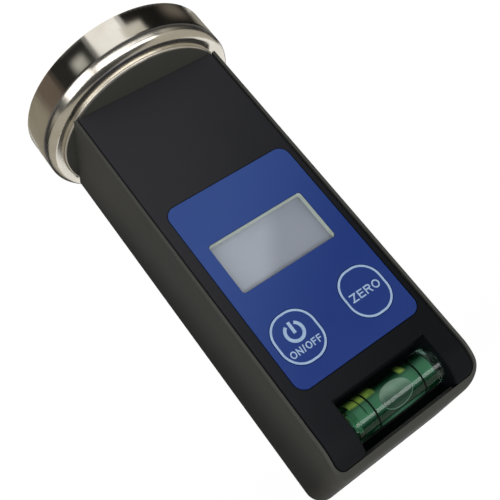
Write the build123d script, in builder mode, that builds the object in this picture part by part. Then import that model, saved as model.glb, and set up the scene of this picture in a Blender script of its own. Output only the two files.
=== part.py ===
from build123d import *
import os

# A digital camber gauge: a long black housing with a display, two keys and a spirit level
# on its face, carried on a round pot magnet that clings to a wheel hub.
#
# The gauge stands on its magnet. The origin is the centre of the magnet's contact face, +Z
# runs along the housing and the display faces -Y. A level is a distance from the magnet's
# axis towards the display, so Plane.XZ.offset(level) is the plane at that level, and its
# sketches are seen as the user sees the display, with the spirit level at the top.

os.makedirs("parts", exist_ok=True)

# Overrun of every cut that has to leave the material
overrun = 1.0

# Pot magnet
magnet_diameter = 60.0
magnet_thickness = 13.0
magnet_shoulder_radius = 1.9
magnet_rim_chamfer = 0.5
magnet_ledge = 3.7
magnet_boss_height = 0.9
magnet_boss_radius = 0.6
cup_wall = 2.6
cup_back = 2.8
outer_resin_width = 0.7
ring_bore_diameter = 20.6
inner_resin_width = 0.6
resin_sink = 0.3
magnet_screw_diameter = 6.0
magnet_screw_length = 25.0
screw_head_diameter = 12.0
screw_head_sink = 0.4
screw_key_width = 4.0
screw_key_depth = 2.0
screw_clearance = 0.2
washer_diameter = 12.0
washer_thickness = 1.6
nut_width = 10.0
nut_thickness = 5.0
thread_gap = 0.05

# Housing
flange_thickness = 0.3
body_width = 45.2
body_length = 111.8
front_reach = 15.4
back_reach = 17.2
nose_radius = 9.5
corner_radius = 4.5
back_edge_radius = 1.6
rim_side = 0.8
rim_end = 1.8
case_wall = 2.6
case_floor = 2.4
magnet_end_wall = 3.0

# Front cover
cover_thickness = 2.2
cover_gap = 0.2
cover_edge_radius = 1.0
cover_skirt_depth = 6.5
cover_skirt_thickness = 3.4

# Printed label with its window and keys. Shares along the housing are of its length, from
# its magnet end, and the other shares are of the label's width or of a key's.
label_side_margin = 3.7
label_start_share = 0.3157
label_height_share = 0.4982
label_shift = -0.55
label_thickness = 0.4
label_corner_radius = 3.0
label_gap = 0.25
window_side_margin = 4.4
window_start_share = 0.4374
window_height_share = 0.1351
window_shift = 0.0
window_corner_radius = 0.8
key_width_share = 0.328
key_height_share = 0.1234
key_corner_share = 0.4516
key_pitch_share = 0.5556
key_centre_share = 0.7129
key_shift = -0.25
key_gap = 0.12
key_travel = 0.35
key_actuator_inset = 1.7
key_actuator_thickness = 0.8

# Display
lens_thickness = 2.0
lens_gap = 0.1
display_side_margin = 1.5
display_end_margin = 2.75
display_thickness = 2.2
glass_ledge = 2.6
glass_step = 1.1
frame_wall = 1.2
frame_gap = 0.15
connector_width = 2.0
connector_height = 2.5
connector_inset = 1.5

# Circuit board, and what is soldered to it, measured along it from its middle
board_side_gap = 2.5
board_start_share = 0.161
board_thickness = 1.6
board_corner_radius = 1.0
switch_width = 6.0
switch_height = 3.4
plunger_diameter = 3.4
plunger_gap = 0.1
plunger_depth = 0.6
chip_width = 9.0
chip_height = 1.4
chip_place = 5.25
sensor_width = 5.0
sensor_height = 1.8
sensor_place = -12.75
crystal_diameter = 2.2
crystal_length = 6.4
crystal_inset = 6.5
capacitor_length = 3.2
capacitor_width = 1.6
capacitor_height = 1.3
capacitor_pitch = 4.0
capacitor_count = 4
capacitor_inset = 5.5
capacitor_place = -2.75
board_post_diameter = 4.2
board_post_inset = 2.5
board_post_start = 4.0
board_screw_diameter = 1.8
board_screw_length = 5.0
board_screw_head_diameter = 3.6
board_screw_head_height = 1.2

# Screws that hold the cover to the case
boss_inset = 5.6
boss_first = 10.0
boss_end_distance = 20.4
boss_diameter = 6.8
boss_board_gap = 0.5
cover_boss_diameter = 4.4
boss_joint_level = 6.0
boss_joint_gap = 0.1
case_screw_diameter = 2.3
case_screw_length = 9.5
case_screw_head_diameter = 4.4
case_screw_head_height = 1.8
case_screw_seat = 3.5
case_screw_slot_width = 0.8
case_screw_slot_depth = 0.8
head_gap = 0.2

# Spirit level, measured from the housing's nose
pocket_side_margin = 8.35
pocket_length = 15.7
pocket_depth = 11.7
pocket_wall = 1.2
pocket_shift = -0.95
pocket_edge_chamfer = 0.35
vial_diameter = 9.4
vial_end_gap = 0.7
vial_end_distance = 9.4
vial_sink = 0.9
vial_bore_diameter = 6.8
vial_bore_end_diameter = 6.2
vial_end_wall = 2.0
vial_edge_chamfer = 0.4
ring_spacing_share = 0.625
ring_width = 0.45
ring_depth = 0.15
bubble_length = 9.6
bubble_diameter = 4.2
bubble_end_gap = 1.4
bubble_gap = 0.08
cradle_thickness = 1.0
saddle_width = 2.6
saddle_inset = 2.7
saddle_rise = 2.4
cradle_gap = 0.1

# Battery compartment
cell_diameter = 10.2
cell_length = 43.4
cell_nub_diameter = 3.8
cell_nub_height = 1.1
cell_edge_radius = 0.4
cell_pitch = 10.8
compartment_width = 22.4
compartment_length = 50.4
compartment_height = 11.8
compartment_wall = 1.2
contact_thickness = 0.4
contact_width = 7.0
contact_height = 8.0
contact_gap = 0.1
leaf_height = 6.6
leaf_width = 4.0
tail_width = 2.0
tail_height = 1.6
lead_diameter = 1.2
lead_rise = 1.2
lead_bend_radius = 3.0
lead_board_inset = 3.5

# Battery door
door_width = 24.8
door_tongue = 0.8
door_thickness = 1.6
door_tongue_thickness = 0.8
door_gap = 0.15
door_length = 58.0
grip_count = 5
grip_pitch = 2.4
grip_width = 1.2
grip_depth = 0.5
grip_length = 14.0
grip_place = 10.0

# Sizes, levels and places that follow from those above
magnet_top_z = magnet_thickness + magnet_boss_height
magnet_boss_diameter = magnet_diameter - 2 * magnet_ledge
flange_diameter = magnet_boss_diameter - 2 * magnet_boss_radius
body_depth = front_reach + back_reach
body_start_z = magnet_top_z + flange_thickness
body_end_z = body_start_z + body_length
front_level = front_reach
back_level = -back_reach
seat_level = front_level - cover_thickness
label_level = front_level - label_thickness
label_width = body_width - 2 * label_side_margin
label_height = label_height_share * body_length
label_z = body_start_z + label_start_share * body_length + label_height / 2
window_width = label_width - 2 * window_side_margin
window_height = window_height_share * body_length
window_z = body_start_z + window_start_share * body_length + window_height / 2
window_place = (window_shift, window_z)
key_width = key_width_share * label_width
key_height = key_height_share * body_length
key_corner_radius = key_corner_share * key_width
key_pitch = key_pitch_share * label_width
key_z = body_start_z + key_centre_share * body_length
key_actuator_diameter = key_width - 2 * key_actuator_inset
on_off_place = (key_shift + key_pitch / 2, key_z)
zero_place = (key_shift - key_pitch / 2, key_z)
display_width = window_width + 2 * display_side_margin
display_height = window_height + 2 * display_end_margin
connector_length = display_width - 2 * connector_inset
boss_side = body_width / 2 - boss_inset
boss_last_z = body_end_z - boss_end_distance
boss_places = [
    (side * boss_side, place_z)
    for side in (-1, 1)
    for place_z in (body_start_z + boss_first, boss_last_z)
]
board_top_level = seat_level - display_thickness - connector_height
board_back_level = board_top_level - board_thickness
board_width = body_width - 2 * (case_wall + board_side_gap)
board_start_z = body_start_z + board_start_share * body_length
board_end_z = boss_last_z - boss_diameter / 2 - boss_board_gap
board_z = (board_start_z + board_end_z) / 2
board_post_side = board_width / 2 - board_post_inset
post_z = board_start_z + board_post_start
crystal_side = board_width / 2 - crystal_inset
capacitor_side = capacitor_inset - board_width / 2
board_posts = [(-board_post_side, post_z), (board_post_side, post_z), (key_shift, key_z)]
skirt_level = front_level - cover_skirt_depth
screw_seat_level = boss_joint_level - case_screw_seat
pocket_width = body_width - 2 * pocket_side_margin
pocket_start_z = body_end_z - pocket_length
pocket_floor_level = front_level - pocket_depth
vial_z = body_end_z - vial_end_distance
vial_level = front_level - vial_sink - vial_diameter / 2
vial_length = pocket_width - 2 * vial_end_gap
vial_bore_length = vial_length - 2 * vial_end_wall
ring_spacing = ring_spacing_share * vial_bore_length
bubble_travel = (vial_bore_length - bubble_length) / 2 - bubble_end_gap
saddle_spacing = vial_length - 2 * saddle_inset
vial_centre = (pocket_shift, -vial_level, vial_z)
compartment_end_z = body_end_z - case_wall
compartment_start_z = compartment_end_z - compartment_length
compartment_base_level = back_level + door_thickness + door_gap
compartment_top_level = compartment_base_level + compartment_height
cell_level = compartment_base_level + door_gap + cell_diameter / 2
door_start_z = body_end_z - door_length
tongue_top_level = back_level + door_thickness
tongue_base_level = tongue_top_level - door_tongue_thickness
tongue_half_width = door_width / 2 + door_tongue


def plan_outline(side_inset, end_inset, start_z):
    """Draws the housing's outline seen from its face, inset from its walls."""
    end_z = body_end_z - end_inset
    with Locations((0, (start_z + end_z) / 2)):
        Rectangle(body_width - 2 * side_inset, end_z - start_z)
    fillet(vertices().group_by(Axis.Y)[-1], corner_radius - end_inset)


def side_outline(start_z):
    """Draws the housing's outline seen from its side, with the rounded nose."""
    with Locations((-(front_level + back_level) / 2, (start_z + body_end_z) / 2)):
        Rectangle(body_depth, body_end_z - start_z)
    fillet(vertices().group_by(Axis.Y)[-1].sort_by(Axis.X)[0], nose_radius)


def housing_block(side_inset, end_inset, start_z, base_level):
    """Makes the housing's outer form, inset from its walls, from base_level to its face."""
    with BuildSketch(Plane.XZ.offset(base_level)) as plan:
        plan_outline(side_inset, end_inset, start_z)
    extrude(plan.sketch, amount=front_level - base_level)
    with BuildSketch(Plane.YZ) as side:
        side_outline(start_z)
    extrude(side.sketch, amount=body_width / 2, both=True, mode=Mode.INTERSECT)


def label_outline(margin):
    """Draws the label's rounded rectangle, margin larger all round."""
    with Locations((label_shift, label_z)):
        RectangleRounded(
            label_width + 2 * margin, label_height + 2 * margin, label_corner_radius + margin
        )


def key_outlines(margin):
    """Draws both keys' rounded outlines, margin larger all round."""
    with Locations(on_off_place, zero_place):
        RectangleRounded(
            key_width + 2 * margin, key_height + 2 * margin, key_corner_radius + margin
        )


def window_outline(margin):
    """Draws the display window's outline, margin smaller all round."""
    with Locations(window_place):
        RectangleRounded(
            window_width - 2 * margin, window_height - 2 * margin, window_corner_radius
        )


# Steel cup of the pot magnet, closed towards the housing. It has a rounded shoulder there,
# and a low round boss that the housing sits on.
cup_radius = magnet_diameter / 2
boss_radius = magnet_boss_diameter / 2
cup_bore_radius = cup_radius - cup_wall
cup_floor_z = magnet_thickness - cup_back
screw_hole_radius = magnet_screw_diameter / 2 + screw_clearance
with BuildPart() as magnet_cup:
    with BuildSketch(Plane.XZ):
        with BuildLine():
            Polyline(
                (screw_hole_radius, magnet_top_z),
                (boss_radius, magnet_top_z),
                (boss_radius, magnet_thickness),
                (cup_radius, magnet_thickness),
                (cup_radius, 0),
                (cup_bore_radius, 0),
                (cup_bore_radius, cup_floor_z),
                (screw_hole_radius, cup_floor_z),
                close=True,
            )
        make_face()
        fillet(vertices().group_by(Axis.X)[-1].sort_by(Axis.Y)[-1], magnet_shoulder_radius)
        fillet(vertices().group_by(Axis.Y)[-1].sort_by(Axis.X)[-1], magnet_boss_radius)
        chamfer(vertices().group_by(Axis.X)[-1].sort_by(Axis.Y)[0], magnet_rim_chamfer)
    revolve(axis=Axis.Z)
magnet_cup.part.label = "magnet_cup"
export_step(magnet_cup.part, "parts/magnet_cup.step")

# Ring magnet, its face level with the cup's rim
ring_radius = cup_bore_radius - outer_resin_width
ring_bore_radius = ring_bore_diameter / 2
with BuildPart() as magnet_ring:
    with BuildSketch(Plane.XY):
        Circle(ring_radius)
        Circle(ring_bore_radius, mode=Mode.SUBTRACT)
    extrude(amount=cup_floor_z)
magnet_ring.part.label = "magnet_ring"
export_step(magnet_ring.part, "parts/magnet_ring.step")

# Steel core inside the ring magnet, countersunk for the screw that holds the magnet
pole_radius = ring_bore_radius - inner_resin_width
head_radius = screw_head_diameter / 2
head_end_z = screw_head_sink + head_radius - magnet_screw_diameter / 2
with BuildPart() as magnet_core:
    with BuildSketch(Plane.XZ):
        with BuildLine():
            Polyline(
                (head_radius + screw_clearance, 0),
                (pole_radius, 0),
                (pole_radius, cup_floor_z),
                (screw_hole_radius, cup_floor_z),
                (screw_hole_radius, head_end_z),
                (head_radius + screw_clearance, screw_head_sink),
                close=True,
            )
        make_face()
    revolve(axis=Axis.Z)
magnet_core.part.label = "magnet_core"
export_step(magnet_core.part, "parts/magnet_core.step")

# Two rings of casting resin that hold the ring magnet and the core in the cup
with BuildPart() as magnet_resin:
    with BuildSketch(Plane.XY.offset(resin_sink)):
        Circle(cup_bore_radius)
        Circle(ring_radius, mode=Mode.SUBTRACT)
        Circle(ring_bore_radius)
        Circle(pole_radius, mode=Mode.SUBTRACT)
    extrude(amount=cup_floor_z - resin_sink)
magnet_resin.part.label = "magnet_resin"
export_step(magnet_resin.part, "parts/magnet_resin.step")

# Countersunk screw with a hexagon socket, through the magnet into the housing's end wall
with BuildPart() as magnet_screw:
    with BuildSketch(Plane.XZ):
        with BuildLine():
            Polyline(
                (0, screw_head_sink),
                (head_radius, screw_head_sink),
                (magnet_screw_diameter / 2, head_end_z),
                (magnet_screw_diameter / 2, screw_head_sink + magnet_screw_length),
                (0, screw_head_sink + magnet_screw_length),
                close=True,
            )
        make_face()
    revolve(axis=Axis.Z)
    with BuildSketch(Plane.XY.offset(screw_head_sink)):
        RegularPolygon(screw_key_width / 2, 6, major_radius=False)
    extrude(amount=screw_key_depth, mode=Mode.SUBTRACT)
magnet_screw.part.label = "magnet_screw"
export_step(magnet_screw.part, "parts/magnet_screw.step")

# Washer and nut on the magnet's screw, inside the housing
washer_z = body_start_z + magnet_end_wall
with BuildPart() as magnet_washer:
    with BuildSketch(Plane.XY.offset(washer_z)):
        Circle(washer_diameter / 2)
        Circle(screw_hole_radius, mode=Mode.SUBTRACT)
    extrude(amount=washer_thickness)
magnet_washer.part.label = "magnet_washer"
export_step(magnet_washer.part, "parts/magnet_washer.step")

with BuildPart() as magnet_nut:
    with BuildSketch(Plane.XY.offset(washer_z + washer_thickness)):
        RegularPolygon(nut_width / 2, 6, major_radius=False)
        Circle(magnet_screw_diameter / 2 + thread_gap, mode=Mode.SUBTRACT)
    extrude(amount=nut_thickness)
magnet_nut.part.label = "magnet_nut"
export_step(magnet_nut.part, "parts/magnet_nut.step")

# Case: an open tray with a round flange for the magnet, a seat for the cover inside its
# rim, four screw bosses, and a battery compartment that opens through its back
floor_level = back_level + case_floor
roof_level = compartment_top_level + compartment_wall
door_channel_length = door_length + door_gap + overrun
door_channel_z = door_start_z - door_gap + door_channel_length / 2
groove_base_level = tongue_base_level - door_gap
with BuildPart() as rear_case:
    housing_block(0, 0, body_start_z, back_level)
    back_edges = rear_case.faces().sort_by(Axis.Y)[-1].edges().sort_by(Axis.Z)[1:]
    fillet(back_edges, back_edge_radius)
    # Thin round flange against the magnet's boss
    with BuildSketch(Plane.XY.offset(magnet_top_z)):
        Circle(flange_diameter / 2)
    extrude(amount=flange_thickness)
    # Inside of the tray
    with BuildSketch(Plane.XZ.offset(floor_level)):
        plan_outline(case_wall, case_wall, body_start_z + magnet_end_wall)
    extrude(amount=body_depth, mode=Mode.SUBTRACT)
    # Seat of the cover, deeper where the cover turns down at the nose
    with BuildSketch(Plane.XZ.offset(seat_level)):
        plan_outline(rim_side, rim_end, body_start_z)
    extrude(amount=cover_thickness + overrun, mode=Mode.SUBTRACT)
    with BuildSketch(Plane.XZ.offset(skirt_level - cover_gap)):
        plan_outline(
            rim_side, rim_end, body_end_z - rim_end - cover_skirt_thickness - corner_radius
        )
    extrude(amount=cover_skirt_depth + overrun, mode=Mode.SUBTRACT)
    # Screw bosses
    with BuildSketch(Plane.XZ.offset(floor_level)):
        with Locations(*boss_places):
            Circle(boss_diameter / 2)
    extrude(amount=boss_joint_level - floor_level)
    # Battery compartment
    with BuildSketch(Plane.XZ.offset(floor_level)):
        with Locations((0, (compartment_start_z - compartment_wall + compartment_end_z) / 2)):
            Rectangle(
                compartment_width + 2 * compartment_wall, compartment_length + compartment_wall
            )
    extrude(amount=roof_level - floor_level)
    with BuildSketch(Plane.XZ.offset(compartment_base_level)):
        with Locations((0, (compartment_start_z + compartment_end_z) / 2)):
            Rectangle(compartment_width, compartment_length)
    extrude(amount=compartment_height, mode=Mode.SUBTRACT)
    # Channel of the battery door, with a groove each side, open at the nose
    with BuildSketch(Plane.XZ.offset(back_level - overrun)):
        with Locations((0, door_channel_z)):
            Rectangle(door_width + 2 * door_gap, door_channel_length)
    extrude(amount=door_thickness + door_gap + overrun, mode=Mode.SUBTRACT)
    with BuildSketch(Plane.XZ.offset(groove_base_level)):
        with Locations((0, door_channel_z)):
            Rectangle(2 * (tongue_half_width + door_gap), door_channel_length)
    extrude(amount=compartment_base_level - groove_base_level, mode=Mode.SUBTRACT)
    # Screw holes, sunk from the back
    with BuildSketch(Plane.XZ.offset(back_level - overrun)):
        with Locations(*boss_places):
            Circle(case_screw_head_diameter / 2 + head_gap)
    extrude(amount=screw_seat_level - back_level + overrun, mode=Mode.SUBTRACT)
    with BuildSketch(Plane.XZ.offset(screw_seat_level - overrun)):
        with Locations(*boss_places):
            Circle(case_screw_diameter / 2 + head_gap)
    extrude(amount=case_screw_seat + 2 * overrun, mode=Mode.SUBTRACT)
    # Hole for the magnet's screw
    with BuildSketch(Plane.XY.offset(magnet_top_z - overrun)):
        Circle(screw_hole_radius)
    extrude(amount=flange_thickness + magnet_end_wall + 2 * overrun, mode=Mode.SUBTRACT)
    # Slots for the tails of the two contacts at the nose
    with BuildSketch(Plane.XZ.offset(compartment_top_level - overrun)):
        with Locations((0, compartment_end_z - contact_thickness)):
            with GridLocations(cell_pitch, 0, 2, 1):
                Rectangle(tail_width + 2 * contact_gap, 2 * contact_thickness)
    extrude(amount=compartment_wall + 2 * overrun, mode=Mode.SUBTRACT)
rear_case.part.label = "rear_case"
export_step(rear_case.part, "parts/rear_case.step")

# Front cover: a plate inside the case's rim that turns down at the nose, with a recess for
# the label, openings for the display and keys, and a pocket for the spirit level
cover_start_z = body_start_z + cover_gap
under_end_z = body_end_z - rim_end - cover_gap - cover_skirt_thickness
under_length = under_end_z - body_start_z + overrun
pocket_end_z = body_end_z - case_wall - cover_gap
with BuildPart() as front_cover:
    housing_block(rim_side + cover_gap, rim_end + cover_gap, cover_start_z, skirt_level)
    cover_edges = front_cover.faces().sort_by(Axis.Y)[0].edges().filter_by(Axis.Z)
    fillet(cover_edges, cover_edge_radius)
    # Underside of the plate
    with BuildSketch(Plane.XZ.offset(skirt_level - overrun)):
        with Locations((0, under_end_z - under_length / 2)):
            Rectangle(body_width, under_length)
    extrude(amount=cover_skirt_depth - cover_thickness + overrun, mode=Mode.SUBTRACT)
    # Box that holds the spirit level, open towards the case's end wall. Past the underside
    # of the plate it stays below the nose's skirt, whose own walls go on above it.
    for end_z, top_level in ((under_end_z, seat_level), (pocket_end_z, skirt_level)):
        with BuildSketch(Plane.XZ.offset(pocket_floor_level - pocket_wall)):
            with Locations((pocket_shift, (pocket_start_z - pocket_wall + end_z) / 2)):
                Rectangle(
                    pocket_width + 2 * pocket_wall, end_z - pocket_start_z + pocket_wall
                )
        extrude(amount=top_level - pocket_floor_level + pocket_wall)
    with BuildSketch(Plane.XZ.offset(pocket_floor_level)):
        with Locations((pocket_shift, (pocket_start_z + body_end_z + overrun) / 2)):
            Rectangle(pocket_width, body_end_z + overrun - pocket_start_z)
    extrude(amount=pocket_depth + overrun, mode=Mode.SUBTRACT)
    # Broken edges of the pocket, across the cover's face and round its nose
    pocket_sides = (pocket_shift - pocket_width / 2, pocket_shift + pocket_width / 2)
    face_edges = front_cover.faces().sort_by(Axis.Y)[0].edges()
    face_edges = face_edges.filter_by_position(Axis.X, *pocket_sides).sort_by(Axis.Z)[1:]
    nose_edges = front_cover.edges().filter_by(GeomType.CIRCLE)
    nose_edges = nose_edges.filter_by_position(Axis.X, *pocket_sides)
    chamfer(face_edges + nose_edges, pocket_edge_chamfer)
    # Screw bosses and board posts
    with BuildSketch(Plane.XZ.offset(boss_joint_level + boss_joint_gap)):
        with Locations(*boss_places):
            Circle(cover_boss_diameter / 2)
            Circle(case_screw_diameter / 2 + thread_gap, mode=Mode.SUBTRACT)
    extrude(amount=seat_level - boss_joint_level - boss_joint_gap)
    with BuildSketch(Plane.XZ.offset(board_top_level)):
        with Locations(*board_posts):
            Circle(board_post_diameter / 2)
            Circle(board_screw_diameter / 2 + thread_gap, mode=Mode.SUBTRACT)
    extrude(amount=seat_level - board_top_level)
    # Recess of the label, openings of the window and the keys
    with BuildSketch(Plane.XZ.offset(label_level)):
        label_outline(label_gap)
    extrude(amount=label_thickness + overrun, mode=Mode.SUBTRACT)
    with BuildSketch(Plane.XZ.offset(seat_level - overrun)):
        window_outline(0)
        key_outlines(key_gap)
    extrude(amount=cover_thickness + 2 * overrun, mode=Mode.SUBTRACT)
front_cover.part.label = "front_cover"
export_step(front_cover.part, "parts/front_cover.step")

# Printed label, with the window's cut-out and an opening for each key
with BuildPart() as control_label:
    with BuildSketch(Plane.XZ.offset(label_level)):
        label_outline(0)
        with BuildSketch(mode=Mode.SUBTRACT):
            window_outline(0)
            key_outlines(key_gap)
    extrude(amount=label_thickness)
control_label.part.label = "control_label"
export_step(control_label.part, "parts/control_label.step")

actuator_base_level = label_level - key_actuator_thickness


def key_cap(place):
    """Makes one key: its area of the printed sheet with the round actuator under it."""
    with BuildPart() as key:
        with BuildSketch(Plane.XZ.offset(label_level)):
            with Locations(place):
                RectangleRounded(key_width, key_height, key_corner_radius)
        extrude(amount=label_thickness)
        with BuildSketch(Plane.XZ.offset(actuator_base_level)):
            with Locations(place):
                Circle(key_actuator_diameter / 2)
        extrude(amount=key_actuator_thickness)
    return key


def switch_body(place):
    """Makes a key switch's square body, with the bore its plunger slides in."""
    bore_depth = plunger_depth + key_travel + plunger_gap
    with BuildPart() as body:
        with BuildSketch(Plane.XZ.offset(board_top_level)):
            with Locations(place):
                Rectangle(switch_width, switch_width)
        extrude(amount=switch_height)
        with BuildSketch(Plane.XZ.offset(board_top_level + switch_height - bore_depth)):
            with Locations(place):
                Circle(plunger_diameter / 2 + plunger_gap)
        extrude(amount=bore_depth + overrun, mode=Mode.SUBTRACT)
    return body


def switch_plunger(place):
    """Makes a key switch's round plunger, up to the key's actuator."""
    base_level = board_top_level + switch_height - plunger_depth
    with BuildPart() as plunger:
        with BuildSketch(Plane.XZ.offset(base_level)):
            with Locations(place):
                Circle(plunger_diameter / 2)
        extrude(amount=actuator_base_level - base_level)
    return plunger


on_off_key = key_cap(on_off_place)
on_off_key.part.label = "on_off_key"
export_step(on_off_key.part, "parts/on_off_key.step")

zero_key = key_cap(zero_place)
zero_key.part.label = "zero_key"
export_step(zero_key.part, "parts/zero_key.step")

on_off_switch = switch_body(on_off_place)
on_off_switch.part.label = "on_off_switch"
export_step(on_off_switch.part, "parts/on_off_switch.step")

zero_switch = switch_body(zero_place)
zero_switch.part.label = "zero_switch"
export_step(zero_switch.part, "parts/zero_switch.step")

on_off_plunger = switch_plunger(on_off_place)
on_off_plunger.part.label = "on_off_plunger"
export_step(on_off_plunger.part, "parts/on_off_plunger.step")

zero_plunger = switch_plunger(zero_place)
zero_plunger.part.label = "zero_plunger"
export_step(zero_plunger.part, "parts/zero_plunger.step")

# Clear lens in the cover's window, lying on the display
with BuildPart() as display_lens:
    with BuildSketch(Plane.XZ.offset(seat_level)):
        window_outline(lens_gap)
    extrude(amount=lens_thickness)
display_lens.part.label = "display_lens"
export_step(display_lens.part, "parts/display_lens.step")

# Liquid crystal display: a front glass and a larger back glass that carries the contacts
with BuildPart() as display_panel:
    with BuildSketch(Plane.XZ.offset(seat_level - display_thickness)):
        with Locations(window_place):
            Rectangle(display_width, display_height)
    extrude(amount=display_thickness - glass_step)
    with BuildSketch(Plane.XZ.offset(seat_level - glass_step)):
        with Locations((window_shift, window_z - glass_ledge / 2)):
            Rectangle(display_width, display_height - glass_ledge)
    extrude(amount=glass_step)
display_panel.part.label = "display_panel"
export_step(display_panel.part, "parts/display_panel.step")

# Frame that holds the display over the board
frame_bore_width = display_width + 2 * frame_gap
frame_bore_height = display_height + 2 * frame_gap
with BuildPart() as display_frame:
    with BuildSketch(Plane.XZ.offset(board_top_level)):
        with Locations(window_place):
            Rectangle(frame_bore_width + 2 * frame_wall, frame_bore_height + 2 * frame_wall)
            Rectangle(frame_bore_width, frame_bore_height, mode=Mode.SUBTRACT)
    extrude(amount=seat_level - board_top_level)
display_frame.part.label = "display_frame"
export_step(display_frame.part, "parts/display_frame.step")

# Two rubber connector strips between the board and the display's back glass
with BuildPart() as display_connectors:
    with BuildSketch(Plane.XZ.offset(board_top_level)):
        with Locations(window_place):
            with GridLocations(0, display_height - connector_width - glass_ledge / 2, 1, 2):
                Rectangle(connector_length, connector_width)
    extrude(amount=connector_height)
display_connectors.part.label = "display_connectors"
export_step(display_connectors.part, "parts/display_connectors.step")

# Circuit board, screwed to the cover's posts
with BuildPart() as circuit_board:
    with BuildSketch(Plane.XZ.offset(board_back_level)):
        with Locations((0, board_z)):
            RectangleRounded(board_width, board_end_z - board_start_z, board_corner_radius)
        with Locations(*board_posts):
            Circle(board_screw_diameter / 2 + screw_clearance, mode=Mode.SUBTRACT)
    extrude(amount=board_thickness)
circuit_board.part.label = "circuit_board"
export_step(circuit_board.part, "parts/circuit_board.step")

with BuildPart() as board_screws:
    with BuildSketch(Plane.XZ.offset(board_back_level - board_screw_head_height)):
        with Locations(*board_posts):
            Circle(board_screw_head_diameter / 2)
    extrude(amount=board_screw_head_height)
    with BuildSketch(Plane.XZ.offset(board_back_level)):
        with Locations(*board_posts):
            Circle(board_screw_diameter / 2)
    extrude(amount=board_screw_length)
board_screws.part.label = "board_screws"
export_step(board_screws.part, "parts/board_screws.step")

# Parts soldered under the board
chip_z = board_z + chip_place
with BuildPart() as controller_chip:
    with BuildSketch(Plane.XZ.offset(board_back_level - chip_height)):
        with Locations((0, chip_z)):
            Rectangle(chip_width, chip_width)
    extrude(amount=chip_height)
controller_chip.part.label = "controller_chip"
export_step(controller_chip.part, "parts/controller_chip.step")

with BuildPart() as tilt_sensor:
    with BuildSketch(Plane.XZ.offset(board_back_level - sensor_height)):
        with Locations((0, board_z + sensor_place)):
            Rectangle(sensor_width, sensor_width)
    extrude(amount=sensor_height)
tilt_sensor.part.label = "tilt_sensor"
export_step(tilt_sensor.part, "parts/tilt_sensor.step")

crystal_level = board_back_level - crystal_diameter / 2
with BuildPart() as quartz_crystal:
    with Locations((crystal_side, -crystal_level, chip_z)):
        Cylinder(crystal_diameter / 2, crystal_length)
quartz_crystal.part.label = "quartz_crystal"
export_step(quartz_crystal.part, "parts/quartz_crystal.step")

with BuildPart() as board_capacitors:
    with BuildSketch(Plane.XZ.offset(board_back_level - capacitor_height)):
        with Locations((capacitor_side, board_z + capacitor_place)):
            with GridLocations(0, capacitor_pitch, 1, capacitor_count):
                Rectangle(capacitor_length, capacitor_width)
    extrude(amount=capacitor_height)
board_capacitors.part.label = "board_capacitors"
export_step(board_capacitors.part, "parts/board_capacitors.step")

# Four slotted screws that draw the cover down, sunk in the case's bosses
with BuildPart() as case_screws:
    with BuildSketch(Plane.XZ.offset(screw_seat_level - case_screw_head_height)):
        with Locations(*boss_places):
            Circle(case_screw_head_diameter / 2)
    extrude(amount=case_screw_head_height)
    with BuildSketch(Plane.XZ.offset(screw_seat_level)):
        with Locations(*boss_places):
            Circle(case_screw_diameter / 2)
    extrude(amount=case_screw_length)
    with BuildSketch(Plane.XZ.offset(screw_seat_level - case_screw_head_height)):
        with Locations(*boss_places):
            Rectangle(case_screw_head_diameter, case_screw_slot_width)
    extrude(amount=case_screw_slot_depth, mode=Mode.SUBTRACT)
case_screws.part.label = "case_screws"
export_step(case_screws.part, "parts/case_screws.step")

# Spirit level: an acrylic tube with a barrel-shaped bore, closed by a plug at one end. The
# plane across the tube has its second direction towards the display, and so has the plane
# along it.
vial_across = Plane(origin=vial_centre, x_dir=(0, 0, 1), z_dir=(1, 0, 0))
vial_along = Plane(origin=vial_centre, x_dir=(1, 0, 0), z_dir=(0, 0, -1))
vial_line = Axis(vial_centre, (1, 0, 0))
bore_half_length = vial_bore_length / 2
plug_radius = vial_bore_end_diameter / 2
ring_places = [-ring_spacing / 2, ring_spacing / 2]


def barrel_outline():
    """Draws half of the level's barrel-shaped bore, from its axis outwards."""
    with BuildLine() as half_bore:
        ThreePointArc(
            (-bore_half_length, plug_radius),
            (0, vial_bore_diameter / 2),
            (bore_half_length, plug_radius),
        )
        Polyline(
            (bore_half_length, plug_radius),
            (bore_half_length, 0),
            (-bore_half_length, 0),
            (-bore_half_length, plug_radius),
        )
    make_face(half_bore.edges())


with BuildPart() as vial_tube:
    with BuildSketch(vial_across.offset(-vial_length / 2)):
        Circle(vial_diameter / 2)
    extrude(amount=vial_length)
    chamfer(vial_tube.edges().filter_by(GeomType.CIRCLE), vial_edge_chamfer)
    with BuildSketch(vial_along):
        barrel_outline()
    revolve(axis=vial_line, mode=Mode.SUBTRACT)
    with BuildSketch(vial_across.offset(bore_half_length)):
        Circle(plug_radius)
    extrude(amount=vial_end_wall, mode=Mode.SUBTRACT)
    for place in ring_places:
        with BuildSketch(vial_across.offset(place - ring_width / 2)):
            Circle(vial_diameter / 2)
            Circle(vial_diameter / 2 - ring_depth, mode=Mode.SUBTRACT)
        extrude(amount=ring_width, mode=Mode.SUBTRACT)
vial_tube.part.label = "vial_tube"
export_step(vial_tube.part, "parts/vial_tube.step")

with BuildPart() as vial_plug:
    with BuildSketch(vial_across.offset(bore_half_length)):
        Circle(plug_radius)
    extrude(amount=vial_end_wall)
vial_plug.part.label = "vial_plug"
export_step(vial_plug.part, "parts/vial_plug.step")

with BuildPart() as vial_rings:
    for place in ring_places:
        with BuildSketch(vial_across.offset(place - ring_width / 2)):
            Circle(vial_diameter / 2)
            Circle(vial_diameter / 2 - ring_depth, mode=Mode.SUBTRACT)
        extrude(amount=ring_width)
vial_rings.part.label = "vial_rings"
export_step(vial_rings.part, "parts/vial_rings.step")

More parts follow.
